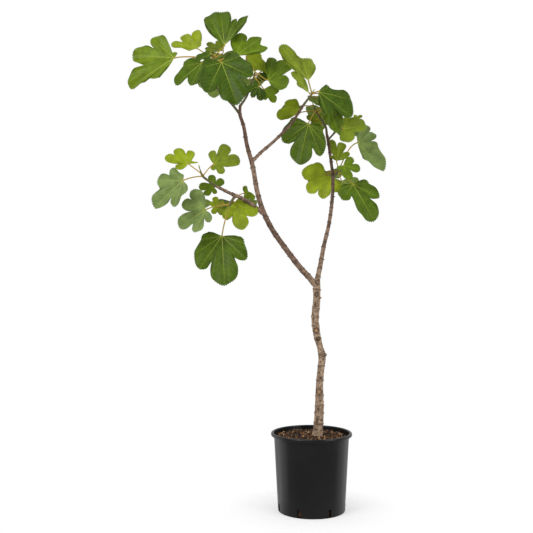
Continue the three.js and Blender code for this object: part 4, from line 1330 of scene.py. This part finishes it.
def blade_sectors(leaf):
    """Both sides of every lobe: where its middle is, how far it reaches, how deep its bay is cut."""
    lobes, webs = leaf["lobes"], leaf["webs"]
    heels = leaf.get("heels", [HEEL_SPREAD, HEEL_SPREAD])
    sectors = []
    for index, (angle, reach, *widest) in enumerate(lobes):
        for way in (-1, 1):
            heel = heels[0 if way < 0 else 1]
            other = index + way
            if 0 <= other < len(lobes):
                share, *at = np.atleast_1d(webs[index - 1 if way < 0 else index])
                bay = abs((at[0] if at else (angle + lobes[other][0]) / 2) - angle)
                web = share * min(reach, lobes[other][1])
                spread = min(bay * LOBE_OVERLAP, widest[0] if widest else LOBE_SPREAD)
            else:
                share, bay, web, spread = 0, heel, HEEL_REACH * reach, heel
            sectors.append({"angle": angle, "reach": reach, "way": way, "bay": bay, "web": web,
                            "spread": spread, "share": share})
    return sectors


def edge_reach(sector, aside):
    """How far the edge is from the foot, aside degrees from the middle of the lobe."""
    share = np.minimum(aside / sector["spread"], 1)
    lobe = sector["reach"] * (1 - share ** LOBE_POINT) ** LOBE_FULLNESS
    return np.maximum(lobe, sector["web"] * np.minimum(1, aside / (WEB_START * sector["bay"])))


def coarse_outline(leaf):
    """A few points around the blade, in space, as the solid's outline has them."""
    base, along, _, across = leaf["frame"]
    points = [base]
    for sector in blade_sectors(leaf):
        shoulders = [share * sector["spread"] for share in reversed(LOBE_SHOULDERS)]
        asides = [sector["bay"], *shoulders, 0]
        ordered = asides if sector["way"] < 0 else asides[::-1][1:]
        for aside in ordered:
            turn = math.radians(sector["angle"] + sector["way"] * aside)
            reach = float(edge_reach(sector, aside))
            points.append(base + across * reach * math.sin(turn) + along * reach * math.cos(turn))
    return np.array(points)


def front_frame(leaf):
    """Foot, midrib, upper side and right-hand side of a blade that is stated from the front."""
    aim, lean, turn = (math.radians(leaf[name]) for name in ("aim", "lean", "turn"))
    along = np.array([math.cos(lean) * math.cos(aim), -math.sin(lean), math.cos(lean) * math.sin(aim)])
    up = unit(np.array([0.0, -1.0, 0.0]) + along[1] * along)
    up = up * math.cos(-turn) + np.cross(along, up) * math.sin(-turn)
    return np.array(leaf["base"], float), along, up, np.cross(along, up)


def outward_frame(base, azimuth, droop):
    """The same for a blade that hangs outwards with its upper side to the sky."""
    flat = math.cos(droop)
    along = np.array([flat * math.cos(azimuth), flat * math.sin(azimuth), -math.sin(droop)])
    up = unit(np.array([0.0, 0.0, 1.0]) - along[2] * along)
    return base, along, up, np.cross(along, up)


def seen(points):
    """Where points are seen from the eye, on the plane through the tree's foot."""
    share = -EYE[1] / (points[:, 1] - EYE[1])
    return EYE[0] + (points[:, 0] - EYE[0]) * share, EYE[2] + (points[:, 2] - EYE[2]) * share


def inside_outline(points, outline):
    """Which of the seen points lie inside a seen outline."""
    x, z = (part[:, None] for part in points)
    x1, z1 = outline
    x2, z2 = np.roll(x1, -1), np.roll(z1, -1)
    rise = np.where(z2 == z1, 1, z2 - z1)
    crossed = ((z1 > z) != (z2 > z)) & (x < x1 + (z - z1) * (x2 - x1) / rise)
    return crossed.sum(axis=1) % 2 == 1


def stem_point(row, at):
    """The entry of a row of stem points, or of lengths along it, at a share of the way up."""
    return row[math.floor(at * (len(row) - 1) + 0.5)]


def hidden_leaves(mass, limb_points, shown, taken):
    """The leaves of the far side. Each try starts somewhere on the stem and grows a stalk and a
    blade outwards. A leaf that would leave the mass's space, come too near a limb or another leaf,
    or show past the leaves in front of it is skipped."""
    draw = random_numbers(mass["seed"])
    stem = limb_rings(mass["stem"], STEM_STEPS)[0]
    limits = np.array(mass["space"])
    leaves = []
    for _ in range(HIDDEN["tries"]):
        if len(leaves) == mass["hidden"]:
            break
        at = between(HIDDEN["at"], next(draw))
        azimuth = math.radians(between(HIDDEN["azimuth"], next(draw)))
        rise = math.radians(between(HIDDEN["stalk_rise"], next(draw)))
        stalk = between(HIDDEN["stalk"], next(draw))
        reach = between(HIDDEN["length"], next(draw))
        droop = math.radians(between(HIDDEN["droop"], next(draw)))
        heading = [math.cos(rise) * math.cos(azimuth), math.cos(rise) * math.sin(azimuth), math.sin(rise)]
        base = stem_point(stem, at) + stalk * np.array(heading)
        leaf = {
            "at": at, "frame": outward_frame(base, azimuth, droop), "webs": HIDDEN["webs"],
            "heels": HIDDEN["heels"], "lobes": [[angle, share * reach] for angle, share in HIDDEN["lobes"]],
            "tone": HIDDEN_TONES[(len(leaves) + mass["seed"]) % len(HIDDEN_TONES)],
        }
        outline = coarse_outline(leaf)
        middle = base + leaf["frame"][1] * 0.5 * reach
        inside = (outline >= limits[:, 0]).all() and (outline <= limits[:, 1]).all()
        room = HIDDEN["limb_clearance"] + HIDDEN["limb_clearance_share"] * reach
        clear = (
            np.linalg.norm(limb_points - middle, axis=1).min() > room
            and np.linalg.norm(taken - middle, axis=1).min() > HIDDEN["leaf_clearance"]
        )
        if inside and clear:
            spots = seen(outline)
            covered = np.any([inside_outline(spots, shape) for shape in shown], axis=0).sum()
            if covered >= HIDDEN["covered"] * len(outline):
                taken.append(middle)
                leaves.append(leaf)
    return leaves


@functools.cache
def grow_masses():
    """Every mass with all its leaves, each with the frame of its blade."""
    limb_points = np.concatenate([
        limb_rings(stations, LIMB_CHECK_STEPS)[0] for stations in LIMBS.values()
    ])
    stated = {}
    for name, mass in MASSES.items():
        leaves = [dict(zip(LEAF_COLUMNS, row)) for row in mass["leaves"]]
        stated[name] = [dict(leaf, frame=front_frame(leaf)) for leaf in leaves]
    every = [leaf for leaves in stated.values() for leaf in leaves]
    taken = [leaf["frame"][0] + leaf["frame"][1] * 0.5 * max(lobe[1] for lobe in leaf["lobes"])
             for leaf in every]
    shown = [seen(coarse_outline(leaf)) for leaf in every]
    return {name: stated[name] + hidden_leaves(mass, limb_points, shown, taken)
            for name, mass in MASSES.items()}


# -------- leaf blades

LARGE = 150  # length of a large blade: the next five sizes are for one
PUFF = 4.2  # rise of the blade between the main veins
PUFF_WIDTH = 13.0
WAVE = 3.6  # height of the waves along the edge
VEIN_PITCH = [6.0, 9.0]  # gap between side veins: the same on all, and what grows with size
HALO_WIDTH = [3, 4]  # width of the pale band along a main vein, in the same way
WAVE_LENGTH = 58.0
EDGE_POINTS = 1600  # points of the edge before it is cut into teeth
TOOTH_CUT = 0.46  # depth of the notches, to a tooth's length
TOOTH_POINTS = 3  # points of the edge for each tooth
ROW_PITCH = 9  # gap between the rows of points from foot to edge
ROWS = [6, 17]  # fewest and most of them
HEEL_BEND = 0.14  # how far rows bend away from the heels, in radians
VEIN_SLOPE = math.radians(50)  # how side veins leave the main ones
SIDE_VEIN_BEND = 0.965  # what is left of that slope after each step
SIDE_VEIN_STEP = 0.38  # length of a step, to the gap between side veins
SIDE_VEIN_POINTS = 14  # most points of a side vein
SIDE_VEIN_WIDTHS = [0.28, 0.12]  # at its start and end, to a main vein's
VEIN_SUNK = 0.25  # how deep the sides of a vein lie in the blade
VEIN_RISE = [(1, 0.32), (-1, 0.75)]  # its rise over the upper side and over the underside
SIDE_VEIN_RISE = 0.8  # rise of a side vein, to a main vein's
VEIN_MAP = [[-0.4, 0], [0, 0.3], [0.4, 0]]  # how a vein's three points lie apart on the bake map
MAIN, SIDE = 0, 1  # orders of veins
SHEET_SHARE = 0.86  # share of the bake map's width that the blades take


class Blade:
    """One leaf blade in its own flat plane, in polar form: the turn from the midrib in radians and
    the distance from the foot in millimetres."""

    def __init__(self, leaf, number, settings):
        self.leaf = leaf
        self.foot, self.along, self.up, self.across = leaf["frame"]
        self.sectors = blade_sectors(leaf)
        self.longest = max(lobe[1] for lobe in leaf["lobes"])
        self.size = self.longest / LARGE
        self.phase = number * 2.4
        self.half = settings.thickness / MM / 2
        self.ribs = np.radians([lobe[0] for lobe in leaf["lobes"]])
        self.pitch = VEIN_PITCH[0] + VEIN_PITCH[1] * self.size
        tooth = settings.tooth / MM * min(1.0, 0.55 + 0.45 * self.size)
        self.make_edge(tooth)

    def make_edge(self, tooth):
        """The edge from one heel to the other, in even steps, cut into rounded teeth."""
        fixed = sorted(spot for sector in self.sectors for spot in self.edge_spots(sector))
        fixed = [spot for spot, after in zip(fixed, fixed[1:] + [(999, 0)]) if after[0] - spot[0] > 0.01]
        angles, reaches = np.array(fixed, float).T
        fine = np.linspace(angles[0], angles[-1], EDGE_POINTS)
        turn, reach = np.radians(fine), smooth_through(angles, reaches, fine)
        run = run_length(np.stack([reach * np.sin(turn), reach * np.cos(turn)], axis=1))
        teeth = max(8, round(run[-1] / tooth))
        self.run = np.linspace(0, run[-1], TOOTH_POINTS * teeth + 1)
        self.turn = np.interp(self.run, run, turn)
        self.plain = np.interp(self.run, run, reach)
        facing = np.clip(self.plain * np.gradient(self.turn) / (self.run[1] - self.run[0]), 0, 1)
        notch = 1 - np.abs(np.sin(math.pi * self.run / (self.run[-1] / teeth)))
        uneven = 1 + 0.35 * np.sin(self.run / 17 + self.phase)
        self.reach = self.plain - TOOTH_CUT * tooth * notch * facing * uneven

    def edge_spots(self, sector):
        """Angles and reaches that the edge runs through: the tip, the shoulders and the bay. Lobes
        that have grown into each other have no bay, or one without shoulders."""
        asides = [0]
        if sector["share"] < JOINED:
            asides.append(sector["bay"])
            if sector["share"] < SHALLOW or sector["web"] < 0.8 * sector["reach"]:
                asides += [sector["spread"] * share for share in LOBE_SHOULDERS]
        spots = []
        for aside in asides:
            if aside <= sector["bay"]:
                cut = BAY_CUT if aside == sector["bay"] and sector["share"] else 1
                turn = sector["angle"] + sector["way"] * aside
                spots.append((turn, cut * float(edge_reach(sector, aside))))
        return spots

    def nearest_rib(self, turn, distance):
        """How far along the nearest main vein a place lies, and how far to the side of it."""
        gap = np.abs(np.asarray(turn)[..., None] - self.ribs).min(axis=-1)
        gap = np.minimum(gap, math.pi / 2)
        return distance * np.cos(gap), distance * np.sin(gap)

    def height(self, turn, distance):
        """The middle of the blade above its flat plane."""
        x, y = distance * np.sin(turn), distance * np.cos(turn)
        fold = math.tan(math.radians(BLADE_FOLD)) * (np.sqrt(x * x + 16) - 4)
        droop = BLADE_DROOP * (np.maximum(y, 0) ** 2 + 0.6 * x * x) / self.longest
        aside = self.nearest_rib(turn, distance)[1]
        between_veins = 1 - bell(aside, PUFF_WIDTH * self.size)
        puff = PUFF * self.size * between_veins * np.minimum(1, distance / 25)
        share = distance / np.interp(turn, self.turn, self.plain)
        run = np.interp(turn, self.turn, self.run)
        wave = WAVE * self.size * np.sin(2 * math.pi * run / WAVE_LENGTH + self.phase)
        return fold - droop + puff + wave * np.clip(share, 0, 1) ** 3

    def rib_values(self, turn, distance):
        """What the finish reads: the phase of the side veins, the distance from the main vein over
        its halo's width, and the share of the way to the edge."""
        ahead, aside = self.nearest_rib(turn, distance)
        phase = 2 * math.pi * (ahead - aside / math.tan(VEIN_SLOPE)) / self.pitch
        halo = HALO_WIDTH[0] + HALO_WIDTH[1] * self.size
        share = distance / np.interp(turn, self.turn, self.plain)
        return np.stack([phase, aside / halo, share], axis=1)

    def place(self, turn, distance, lift):
        """Points in space."""
        rise = self.height(turn, distance) + lift
        return (self.foot + np.outer(distance * np.sin(turn), self.across)
                + np.outer(distance * np.cos(turn), self.along) + np.outer(rise, self.up))

    def add_sheets(self, heap, kinds, cells):
        """The upper side, the underside and the thin rim that closes them. kinds are the materials
        and cells the places on the bake map of these three."""
        rows = int(np.clip(self.longest / ROW_PITCH, *ROWS))
        columns = len(self.turn)
        share = np.arange(1, rows + 1) / rows
        heels = bell(self.turn - self.turn[-1], 0.3) - bell(self.turn - self.turn[0], 0.3)
        bend = np.outer(4 * share * (1 - share), HEEL_BEND * heels)
        turn = np.concatenate([[0], (self.turn[None, :] + bend).ravel()])
        distance = np.concatenate([[0.001], np.outer(share, self.reach).ravel()])
        values = self.rib_values(turn, distance)
        top = heap.add_points(self.place(turn, distance, self.half), values)
        bottom = heap.add_points(self.place(turn, distance, -self.half), values)
        grid = 1 + np.arange(rows * columns).reshape(rows, columns)
        quads = np.stack([grid[:-1, :-1], grid[:-1, 1:], grid[1:, 1:], grid[1:, :-1]], axis=-1)
        quads = quads.reshape(-1, 4)
        fans = np.stack([np.zeros(columns - 1, int), grid[0, 1:], grid[0, :-1]], axis=-1)
        flat = np.stack([distance * np.sin(turn), distance * np.cos(turn)], axis=1)
        upper, under, rim = kinds
        for first, kind, cell, way in ((top, upper, cells[0], 1), (bottom, under, cells[1], -1)):
            spot = fitted(flat * [way, 1], cell)
            for faces in (quads[:, ::-way], fans[:, ::-way]):
                heap.add_faces(faces + first, kind, spot[faces])
        loop = np.concatenate([[0], grid[:, 0], grid[-1, 1:], grid[::-1, -1][1:]])
        after = np.roll(loop, -1)
        walls = np.stack([top + loop, top + after, bottom + after, bottom + loop], axis=1)
        left = np.arange(len(loop))[:, None] / len(loop) + [0, 1 / len(loop), 1 / len(loop), 0]
        low = np.broadcast_to([0.45, 0.45, 0, 0], left.shape)
        heap.add_faces(walls, rim, into_cell(np.stack([left, low], axis=-1), cells[2]))

    def veins(self, settings):
        """Turns, distances, half widths and order of each vein's points."""
        width = settings.vein / MM / 2 * (0.35 + 0.65 * self.size)
        lines = []
        for angle, reach, *_ in self.leaf["lobes"]:
            steps = max(5, round(reach / ROW_PITCH))
            share = np.linspace(0.0, 0.95, steps)
            start = width * (0.55 + 0.45 * min(1, reach / self.longest))
            lines.append((np.full(steps, math.radians(angle)), share * reach + 0.5,
                          start * (1 - 0.85 * share), MAIN))
        for sector in self.sectors:
            lines += self.side_veins(sector, width)
        return lines

    def side_veins(self, sector, width):
        """Veins that leave the middle of a lobe to one side and bend forwards, as far as the bay or
        the edge."""
        slopes = VEIN_SLOPE * SIDE_VEIN_BEND ** np.arange(SIDE_VEIN_POINTS - 1)
        steps = self.pitch * SIDE_VEIN_STEP * np.stack([np.cos(slopes), np.sin(slopes)])
        forward, aside = np.pad(np.cumsum(steps, axis=1), ((0, 0), (1, 0)))
        lines = []
        for start in np.arange(self.pitch, 0.9 * sector["reach"], self.pitch):
            gap, distance = np.arctan2(aside, start + forward), np.hypot(aside, start + forward)
            turn = math.radians(sector["angle"]) + sector["way"] * gap
            edge = np.interp(turn, self.turn, self.plain)
            past = (gap > math.radians(sector["bay"]) * 0.96) | (distance > 0.95 * edge)
            count = 1 + int(np.argmax(np.append(past[1:], True)))
            if count > 2:
                taper = np.linspace(*SIDE_VEIN_WIDTHS, count) * width
                lines.append((turn[:count], distance[:count], taper, SIDE))
        return lines

    def add_veins(self, heap, kinds, cell, settings):
        """Each vein is a low ridge on the upper side and a higher one on the underside. kinds are the
        materials of the main veins and of the side veins."""
        for turn, distance, half_width, order in self.veins(settings):
            height = (1.0, SIDE_VEIN_RISE)[order]
            flat = np.stack([distance * np.sin(turn), distance * np.cos(turn)], axis=1)
            ahead = np.gradient(flat, axis=0)
            ahead /= np.linalg.norm(ahead, axis=1, keepdims=True)
            spread = np.repeat(flat, 3, axis=0) + np.tile(VEIN_MAP, (len(turn), 1))
            spot = fitted(np.concatenate([spread, [[-200, -200], [200, 200]]]), cell)
            quads, ends = ridge_faces(len(turn))
            for way, rise in VEIN_RISE:
                rows = []
                for offset, lift in ((-1, -VEIN_SUNK), (0, rise * height), (1, -VEIN_SUNK)):
                    x = flat[:, 0] + ahead[:, 1] * offset * half_width
                    y = flat[:, 1] - ahead[:, 0] * offset * half_width
                    gap = (np.arctan2(x, y) - turn + math.pi) % (2 * math.pi) - math.pi
                    rows.append(self.place(turn + gap, np.hypot(x, y), way * (self.half + lift)))
                first = heap.add_points(np.stack(rows, axis=1).reshape(-1, 3))
                for faces in (quads[:, ::way], ends[:, ::way]):
                    heap.add_faces(faces + first, kinds[order], spot[faces])


def ridge_faces(steps):
    """The three long sides and the two ends of a ridge with three points at each step."""
    sides = []
    for a in range(0, 3 * steps - 3, 3):
        sides += [(a, a + 3, a + 4, a + 1), (a + 1, a + 4, a + 5, a + 2), (a + 2, a + 5, a + 3, a)]
    return np.array(sides), np.array([(0, 1, 2), (3 * steps - 1, 3 * steps - 2, 3 * steps - 3)])


def into_cell(places, cell):
    """Places from 0 to 1 moved into a cell of the bake map."""
    left, bottom, width, tall = cell
    return np.asarray(places) * [width, tall] + [left, bottom]


def fitted(flat, cell):
    """Flat points scaled evenly into a cell of the bake map, with a margin."""
    low, high = flat.min(axis=0), flat.max(axis=0)
    left, bottom, width, tall = cell
    scale = 0.92 * min(width / (high[0] - low[0]), tall / (high[1] - low[1]))
    middle = np.array([left + width / 2, bottom + tall / 2])
    return middle + (flat - (low + high) / 2) * scale


def map_cells(count):
    """Cells of the bake map for each leaf: upper side, underside, rim and veins."""
    columns = math.ceil(math.sqrt(2 * count * SHEET_SHARE))
    rows = math.ceil(2 * count / columns)
    width, tall = SHEET_SHARE / columns, 1 / rows
    grid = [(column * width, row * tall, width, tall) for row in range(rows) for column in range(columns)]
    strip, left, rest = 1 / count, SHEET_SHARE + 0.01, 0.98 - SHEET_SHARE
    cells = []
    for index in range(count):
        rim = (left, index * strip, rest, strip * 0.3)
        veins = (left, (index + 0.35) * strip, rest, strip * 0.6)
        cells.append((grid[2 * index], grid[2 * index + 1], rim, veins))
    return cells


def blade_finish(name, tint, gloss):
    """A leaf's skin: its own tone, mottled, puffed up between the side veins and paler on them. The
    mottle is partly painted sheen and shade, and the edge is darker with painted shade.
    """
    finish = Finish(name)
    mottle_and_sheen = finish.noise(34, 3)
    cells = finish.noise(420, 2)
    values = finish.node("ShaderNodeSeparateXYZ", None, {0: finish.attribute("rib").outputs["Vector"]})
    phase, aside, outwards = (Signal(finish, socket) for socket in values.outputs)
    crest = finish.maths("COSINE", phase, 0) * 0.5 + 0.5
    halo = finish.clamped(1 - aside) ** 2
    line = crest ** 9
    # mottle: the leaf's own uneven tone, its light and dark patches also painted sheen and shade
    share = finish.clamped((mottle_and_sheen - 0.5) * 1.8 + 0.5)
    skin = finish.mix(shade(tint, 0.6), shade(tint, 1.36), share)
    # painted shade: darker towards the edge, as the cupped edges of a blade lie in shade
    edge_shaded = finish.mix(skin, shade(tint, 0.8), outwards ** 6 * 0.6)
    paler = blended(shade(tint, 1.3), (0.4, 0.5, 0.1), 0.14)
    finish.set(
        Base_Color=finish.mix(edge_shaded, paler, finish.clamped(halo * 0.2 + line * 0.16)),
        Roughness=gloss + mottle_and_sheen * 0.14,
        Specular_IOR_Level=0.18,
    )
    finish.relief(cells * 0.4 - crest ** 3 * 0.5 - halo * 0.6, 0.0009, 0.8)
    return finish.material


def vein_finish(name, tint):
    finish = Finish(name)
    finish.set(Base_Color=tint, Roughness=0.5)
    return finish.material


def leaf_finishes(settings):
    """For each tone the finish of the upper side, of the underside and of the side veins."""
    finishes = {}
    for tone in TONES:
        tint = getattr(settings, tone)
        name = "leaf_" + tone
        finishes[tone] = [
            blade_finish(name, tint, 0.36),
            # the underside's pale colour is partly painted light on undersides in shade
            blade_finish(name + "_under", blended(tint, settings.pale, 0.6), 0.62),
            vein_finish(name + "_veins", blended(shade(tint, 1.3), settings.rib, 0.4)),
        ]
    return finishes


class FIG_OT_leaves(bpy.types.Operator):
    """Make the leaf blades of every mass, with their teeth and veins"""

    bl_idname = "fig.leaves"
    bl_label = "Leaves"

    def execute(self, context):
        settings = context.scene.fig_leaf
        main_veins = vein_finish("leaf_main_veins", (*settings.rib, 1))
        finishes = leaf_finishes(settings)
        number = 0
        for name, leaves in grow_masses().items():
            heap = Heap()
            materials = [main_veins]
            cells = map_cells(len(leaves))
            for leaf, cell in zip(leaves, cells):
                kinds = []
                for finish in finishes[leaf["tone"]]:
                    if finish not in materials:
                        materials.append(finish)
                    kinds.append(materials.index(finish))
                upper, under, side_veins = kinds
                blade = Blade(leaf, number, settings)
                blade.add_sheets(heap, (upper, under, under), cell)
                blade.add_veins(heap, (0, side_veins), cell[3], settings)
                number += 1
            piece = name.replace("foliage", "leaves")
            add_piece(piece, heap.mesh(piece), materials, [name])
        return {"FINISHED"}


# -------- shoots, stalks and buds

SHOOT, STALK, BUD = 0, 1, 2  # kinds of twigs
TWIG_SIDES = 10
SHOOT_STEPS = 8  # points between two stations of a shoot
LEAF_SWELLING = [0.55, 3.2]  # rise and width of the shoot's swelling at each leaf
FOOT_SWELLING = [0.35, 3.0, 6]  # the same near its foot, and how far up that is
SHOOT_SUNK = 5  # how deep a shoot's foot lies in its bough
BUD_LENGTH = 15.0
BUD_OUTLINE = [0.9, 1.25, 1.35, 1.2, 0.95, 0.65, 0.35, 0.08]  # radii from foot to tip
BUD_LEAN = [1.5, 0.5, 0.5]  # how far a bud's tip bends aside
STALK_STEPS = 16


def twig_tree():
    """Turns lines into tapering round twigs, each kind with its own finish."""
    sheet, given = new_tree("Twigs along lines", {
        "Sides": "Int", "Shoot": "Material", "Stalk": "Material", "Bud": "Material",
    })
    line = sheet.node("GeometryNodeMeshToCurve", None, {"Mesh": given["Mesh"]})
    ring = sheet.node("GeometryNodeCurvePrimitiveCircle", None, {
        "Resolution": given["Sides"], "Radius": 1.0,
    })
    thickness, kind = (
        sheet.node("GeometryNodeInputNamedAttribute", {"data_type": "FLOAT"}, {"Name": name}).outputs[0]
        for name in ("thickness", "kind")
    )
    tube = sheet.node("GeometryNodeCurveToMesh", None, {
        "Curve": line.outputs[0], "Profile Curve": ring.outputs[0], "Scale": thickness,
        "Fill Caps": True,
    })
    coats = []
    for number, label in ((SHOOT, "Shoot"), (STALK, "Stalk"), (BUD, "Bud")):
        chosen = sheet.node("FunctionNodeCompare", {"data_type": "FLOAT", "operation": "EQUAL"},
                            {0: kind, 1: float(number)})
        coats.append((given[label], chosen.outputs[0]))
    return close_tree(sheet, tube.outputs[0], *coats)


class Lines:
    """Lines with a thickness at each point, for the twig tree."""

    def __init__(self):
        self.points, self.edges = [], []
        self.thickness, self.kinds = [], []

    def add(self, points, thickness, kind):
        first = len(self.points)
        self.points += [tuple(point * MM) for point in points]
        self.edges += [(first + step, first + step + 1) for step in range(len(points) - 1)]
        self.thickness += [value * MM for value in thickness]
        self.kinds += [float(kind)] * len(points)

    def mesh(self, name):
        mesh = bpy.data.meshes.new(name)
        mesh.from_pydata(self.points, self.edges, [])
        store(mesh, "thickness", np.array(self.thickness))
        store(mesh, "kind", np.array(self.kinds))
        return mesh


def add_shoot(lines, mass, leaves):
    """The stem of a mass, swollen where leaves sit on it, sunk a little into its bough."""
    centres, axes, radii = limb_rings(mass["stem"], SHOOT_STEPS)
    along = run_length(centres)
    thickness = radii.copy()
    rise, width = LEAF_SWELLING
    for leaf in leaves:
        thickness += rise * bell(along - stem_point(along, leaf["at"]), width)
    rise, width, place = FOOT_SWELLING
    thickness += rise * bell(along - place, width)
    sunk = centres[0] - axes[0] * SHOOT_SUNK
    lines.add(np.concatenate([[sunk], centres]), np.concatenate([[radii[0]], thickness]), SHOOT)
    return centres, axes, radii


def add_bud(lines, tip, heading, radius):
    """A pointed bud in its scales."""
    share = np.linspace(0, 1, len(BUD_OUTLINE))
    thickness = np.array(BUD_OUTLINE) * max(radius, 1.7)
    bend = np.outer(share ** 2, BUD_LEAN)
    lines.add(tip + np.outer(share * BUD_LENGTH - 2, heading) + bend, thickness, BUD)


def stalk_line(start, leaf):
    """A stalk's bend from the stem to the foot of its blade."""
    foot, along = leaf["frame"][0], leaf["frame"][1]
    straight = foot - start
    distance = np.linalg.norm(straight)
    leaving = unit(straight + np.array([0, 0, STALK_LIFT * distance]))
    arriving = unit(unit(straight) + 0.6 * along)
    ends = [start, start + 0.35 * distance * leaving, foot - 0.3 * distance * arriving, foot]
    share = np.linspace(0, 1, STALK_STEPS)[:, None]
    rest = 1 - share
    return (rest ** 3 * ends[0] + 3 * rest ** 2 * share * ends[1]
            + 3 * rest * share ** 2 * ends[2] + share ** 3 * ends[3])


def add_stalk(lines, start, leaf, stalk_radius):
    """A stalk, thicker at both ends, that runs a little way into its blade."""
    points = stalk_line(start, leaf)
    along = run_length(points)
    size = 0.75 + 0.25 * min(1.2, max(lobe[1] for lobe in leaf["lobes"]) / 120)
    thickness = stalk_radius * size * (1 + 0.55 * bell(along - 3, 4) + 0.3 * bell(along - along[-1], 4))
    end = leaf["frame"][0] + leaf["frame"][1] * 3
    lines.add(np.concatenate([points, [end]]), np.concatenate([thickness, [thickness[-1] * 0.5]]), STALK)


def stalk_finish(settings):
    finish = Finish("leaf_stalks")
    ripe = finish.noise(14, 2)
    fine = finish.noise(300, 2)
    green = blended(settings.amber, settings.bright, 0.55)
    finish.set(
        Base_Color=finish.mix(green, (*settings.amber, 1), finish.clamped((ripe - 0.4) * 4)),
        Roughness=0.48 + fine * 0.1,
    )
    finish.relief(fine, 0.0003, 0.5)
    return finish.material


def shoot_finish(wood, leaf):
    finish = Finish("young_shoots")
    streaks = finish.noise(260, 3, stretch=(1, 1, 0.5))
    green = blended(wood.young, leaf.olive, 0.45)
    finish.set(Base_Color=finish.mix(shade(wood.young, 0.6), green, streaks), Roughness=0.6)
    finish.relief(streaks, 0.0006)
    return finish.material


def bud_finish(settings):
    finish = Finish("buds")
    scales = finish.noise(160, 2)
    finish.set(Base_Color=finish.mix((*settings.bright, 1), shade(settings.lime, 1.2), scales),
               Roughness=0.5)
    return finish.material


class FIG_OT_twigs(bpy.types.Operator):
    """Make the young shoots, leaf stalks and buds of every mass"""

    bl_idname = "fig.twigs"
    bl_label = "Shoots and stalks"

    def execute(self, context):
        leaf_settings, wood = context.scene.fig_leaf, context.scene.fig_wood
        tree = twig_tree()
        finishes = {
            "Shoot": shoot_finish(wood, leaf_settings),
            "Stalk": stalk_finish(leaf_settings),
            "Bud": bud_finish(leaf_settings),
        }
        for name, leaves in grow_masses().items():
            lines = Lines()
            centres, axes, radii = add_shoot(lines, MASSES[name], leaves)
            add_bud(lines, centres[-1], axes[-1], radii[-1])
            stem = limb_rings(MASSES[name]["stem"], STEM_STEPS)[0]
            for leaf in leaves:
                add_stalk(lines, stem_point(stem, leaf["at"]), leaf, leaf_settings.stalk / MM)
            piece = name.replace("foliage", "twigs")
            mesh = grown(piece, lines.mesh(piece + "_lines"), tree, {"Sides": TWIG_SIDES, **finishes})
            if not mesh.polygons:
                raise RuntimeError("no twigs were made for " + name)
            finish_shading(mesh, 60)
            add_piece(piece, mesh, [], [name])
        return {"FINISHED"}


# -------- panel and registration

class FIG_PT_sidebar(bpy.types.Panel):
    """Buttons and settings of the fig tree"""

    bl_label = "Fig Tree"
    bl_idname = "FIG_PT_sidebar"
    bl_space_type = "VIEW_3D"
    bl_region_type = "UI"
    bl_category = "Fig Tree"

    def draw(self, context):
        for operator in OPERATORS:
            self.layout.operator(operator.bl_idname)
        for group in GROUPS:
            settings = getattr(context.scene, group)
            box = self.layout.box()
            for name in settings.bl_rna.properties.keys():
                if name not in ("rna_type", "name"):
                    box.prop(settings, name)


OPERATORS = (FIG_OT_stage, FIG_OT_pot, FIG_OT_mix, FIG_OT_bark, FIG_OT_twigs, FIG_OT_leaves)
GROUPS = {
    "fig_stage": FigStageSettings, "fig_pot": FigPotSettings, "fig_mix": FigMixSettings,
    "fig_wood": FigWoodSettings, "fig_leaf": FigLeafSettings,
}


def register():
    for group, settings in GROUPS.items():
        bpy.utils.register_class(settings)
        setattr(bpy.types.Scene, group, PointerProperty(type=settings))
    for item in (*OPERATORS, FIG_PT_sidebar):
        bpy.utils.register_class(item)


def unregister():
    for item in (FIG_PT_sidebar, *reversed(OPERATORS)):
        bpy.utils.unregister_class(item)
    for group, settings in GROUPS.items():
        delattr(bpy.types.Scene, group)
        bpy.utils.unregister_class(settings)


def main():
    register()
    bpy.ops.fig.stage()
    bpy.ops.fig.pot()
    bpy.ops.fig.mix()
    bpy.ops.fig.bark()
    bpy.ops.fig.twigs()
    bpy.ops.fig.leaves()


if __name__ == "__main__":
    main()
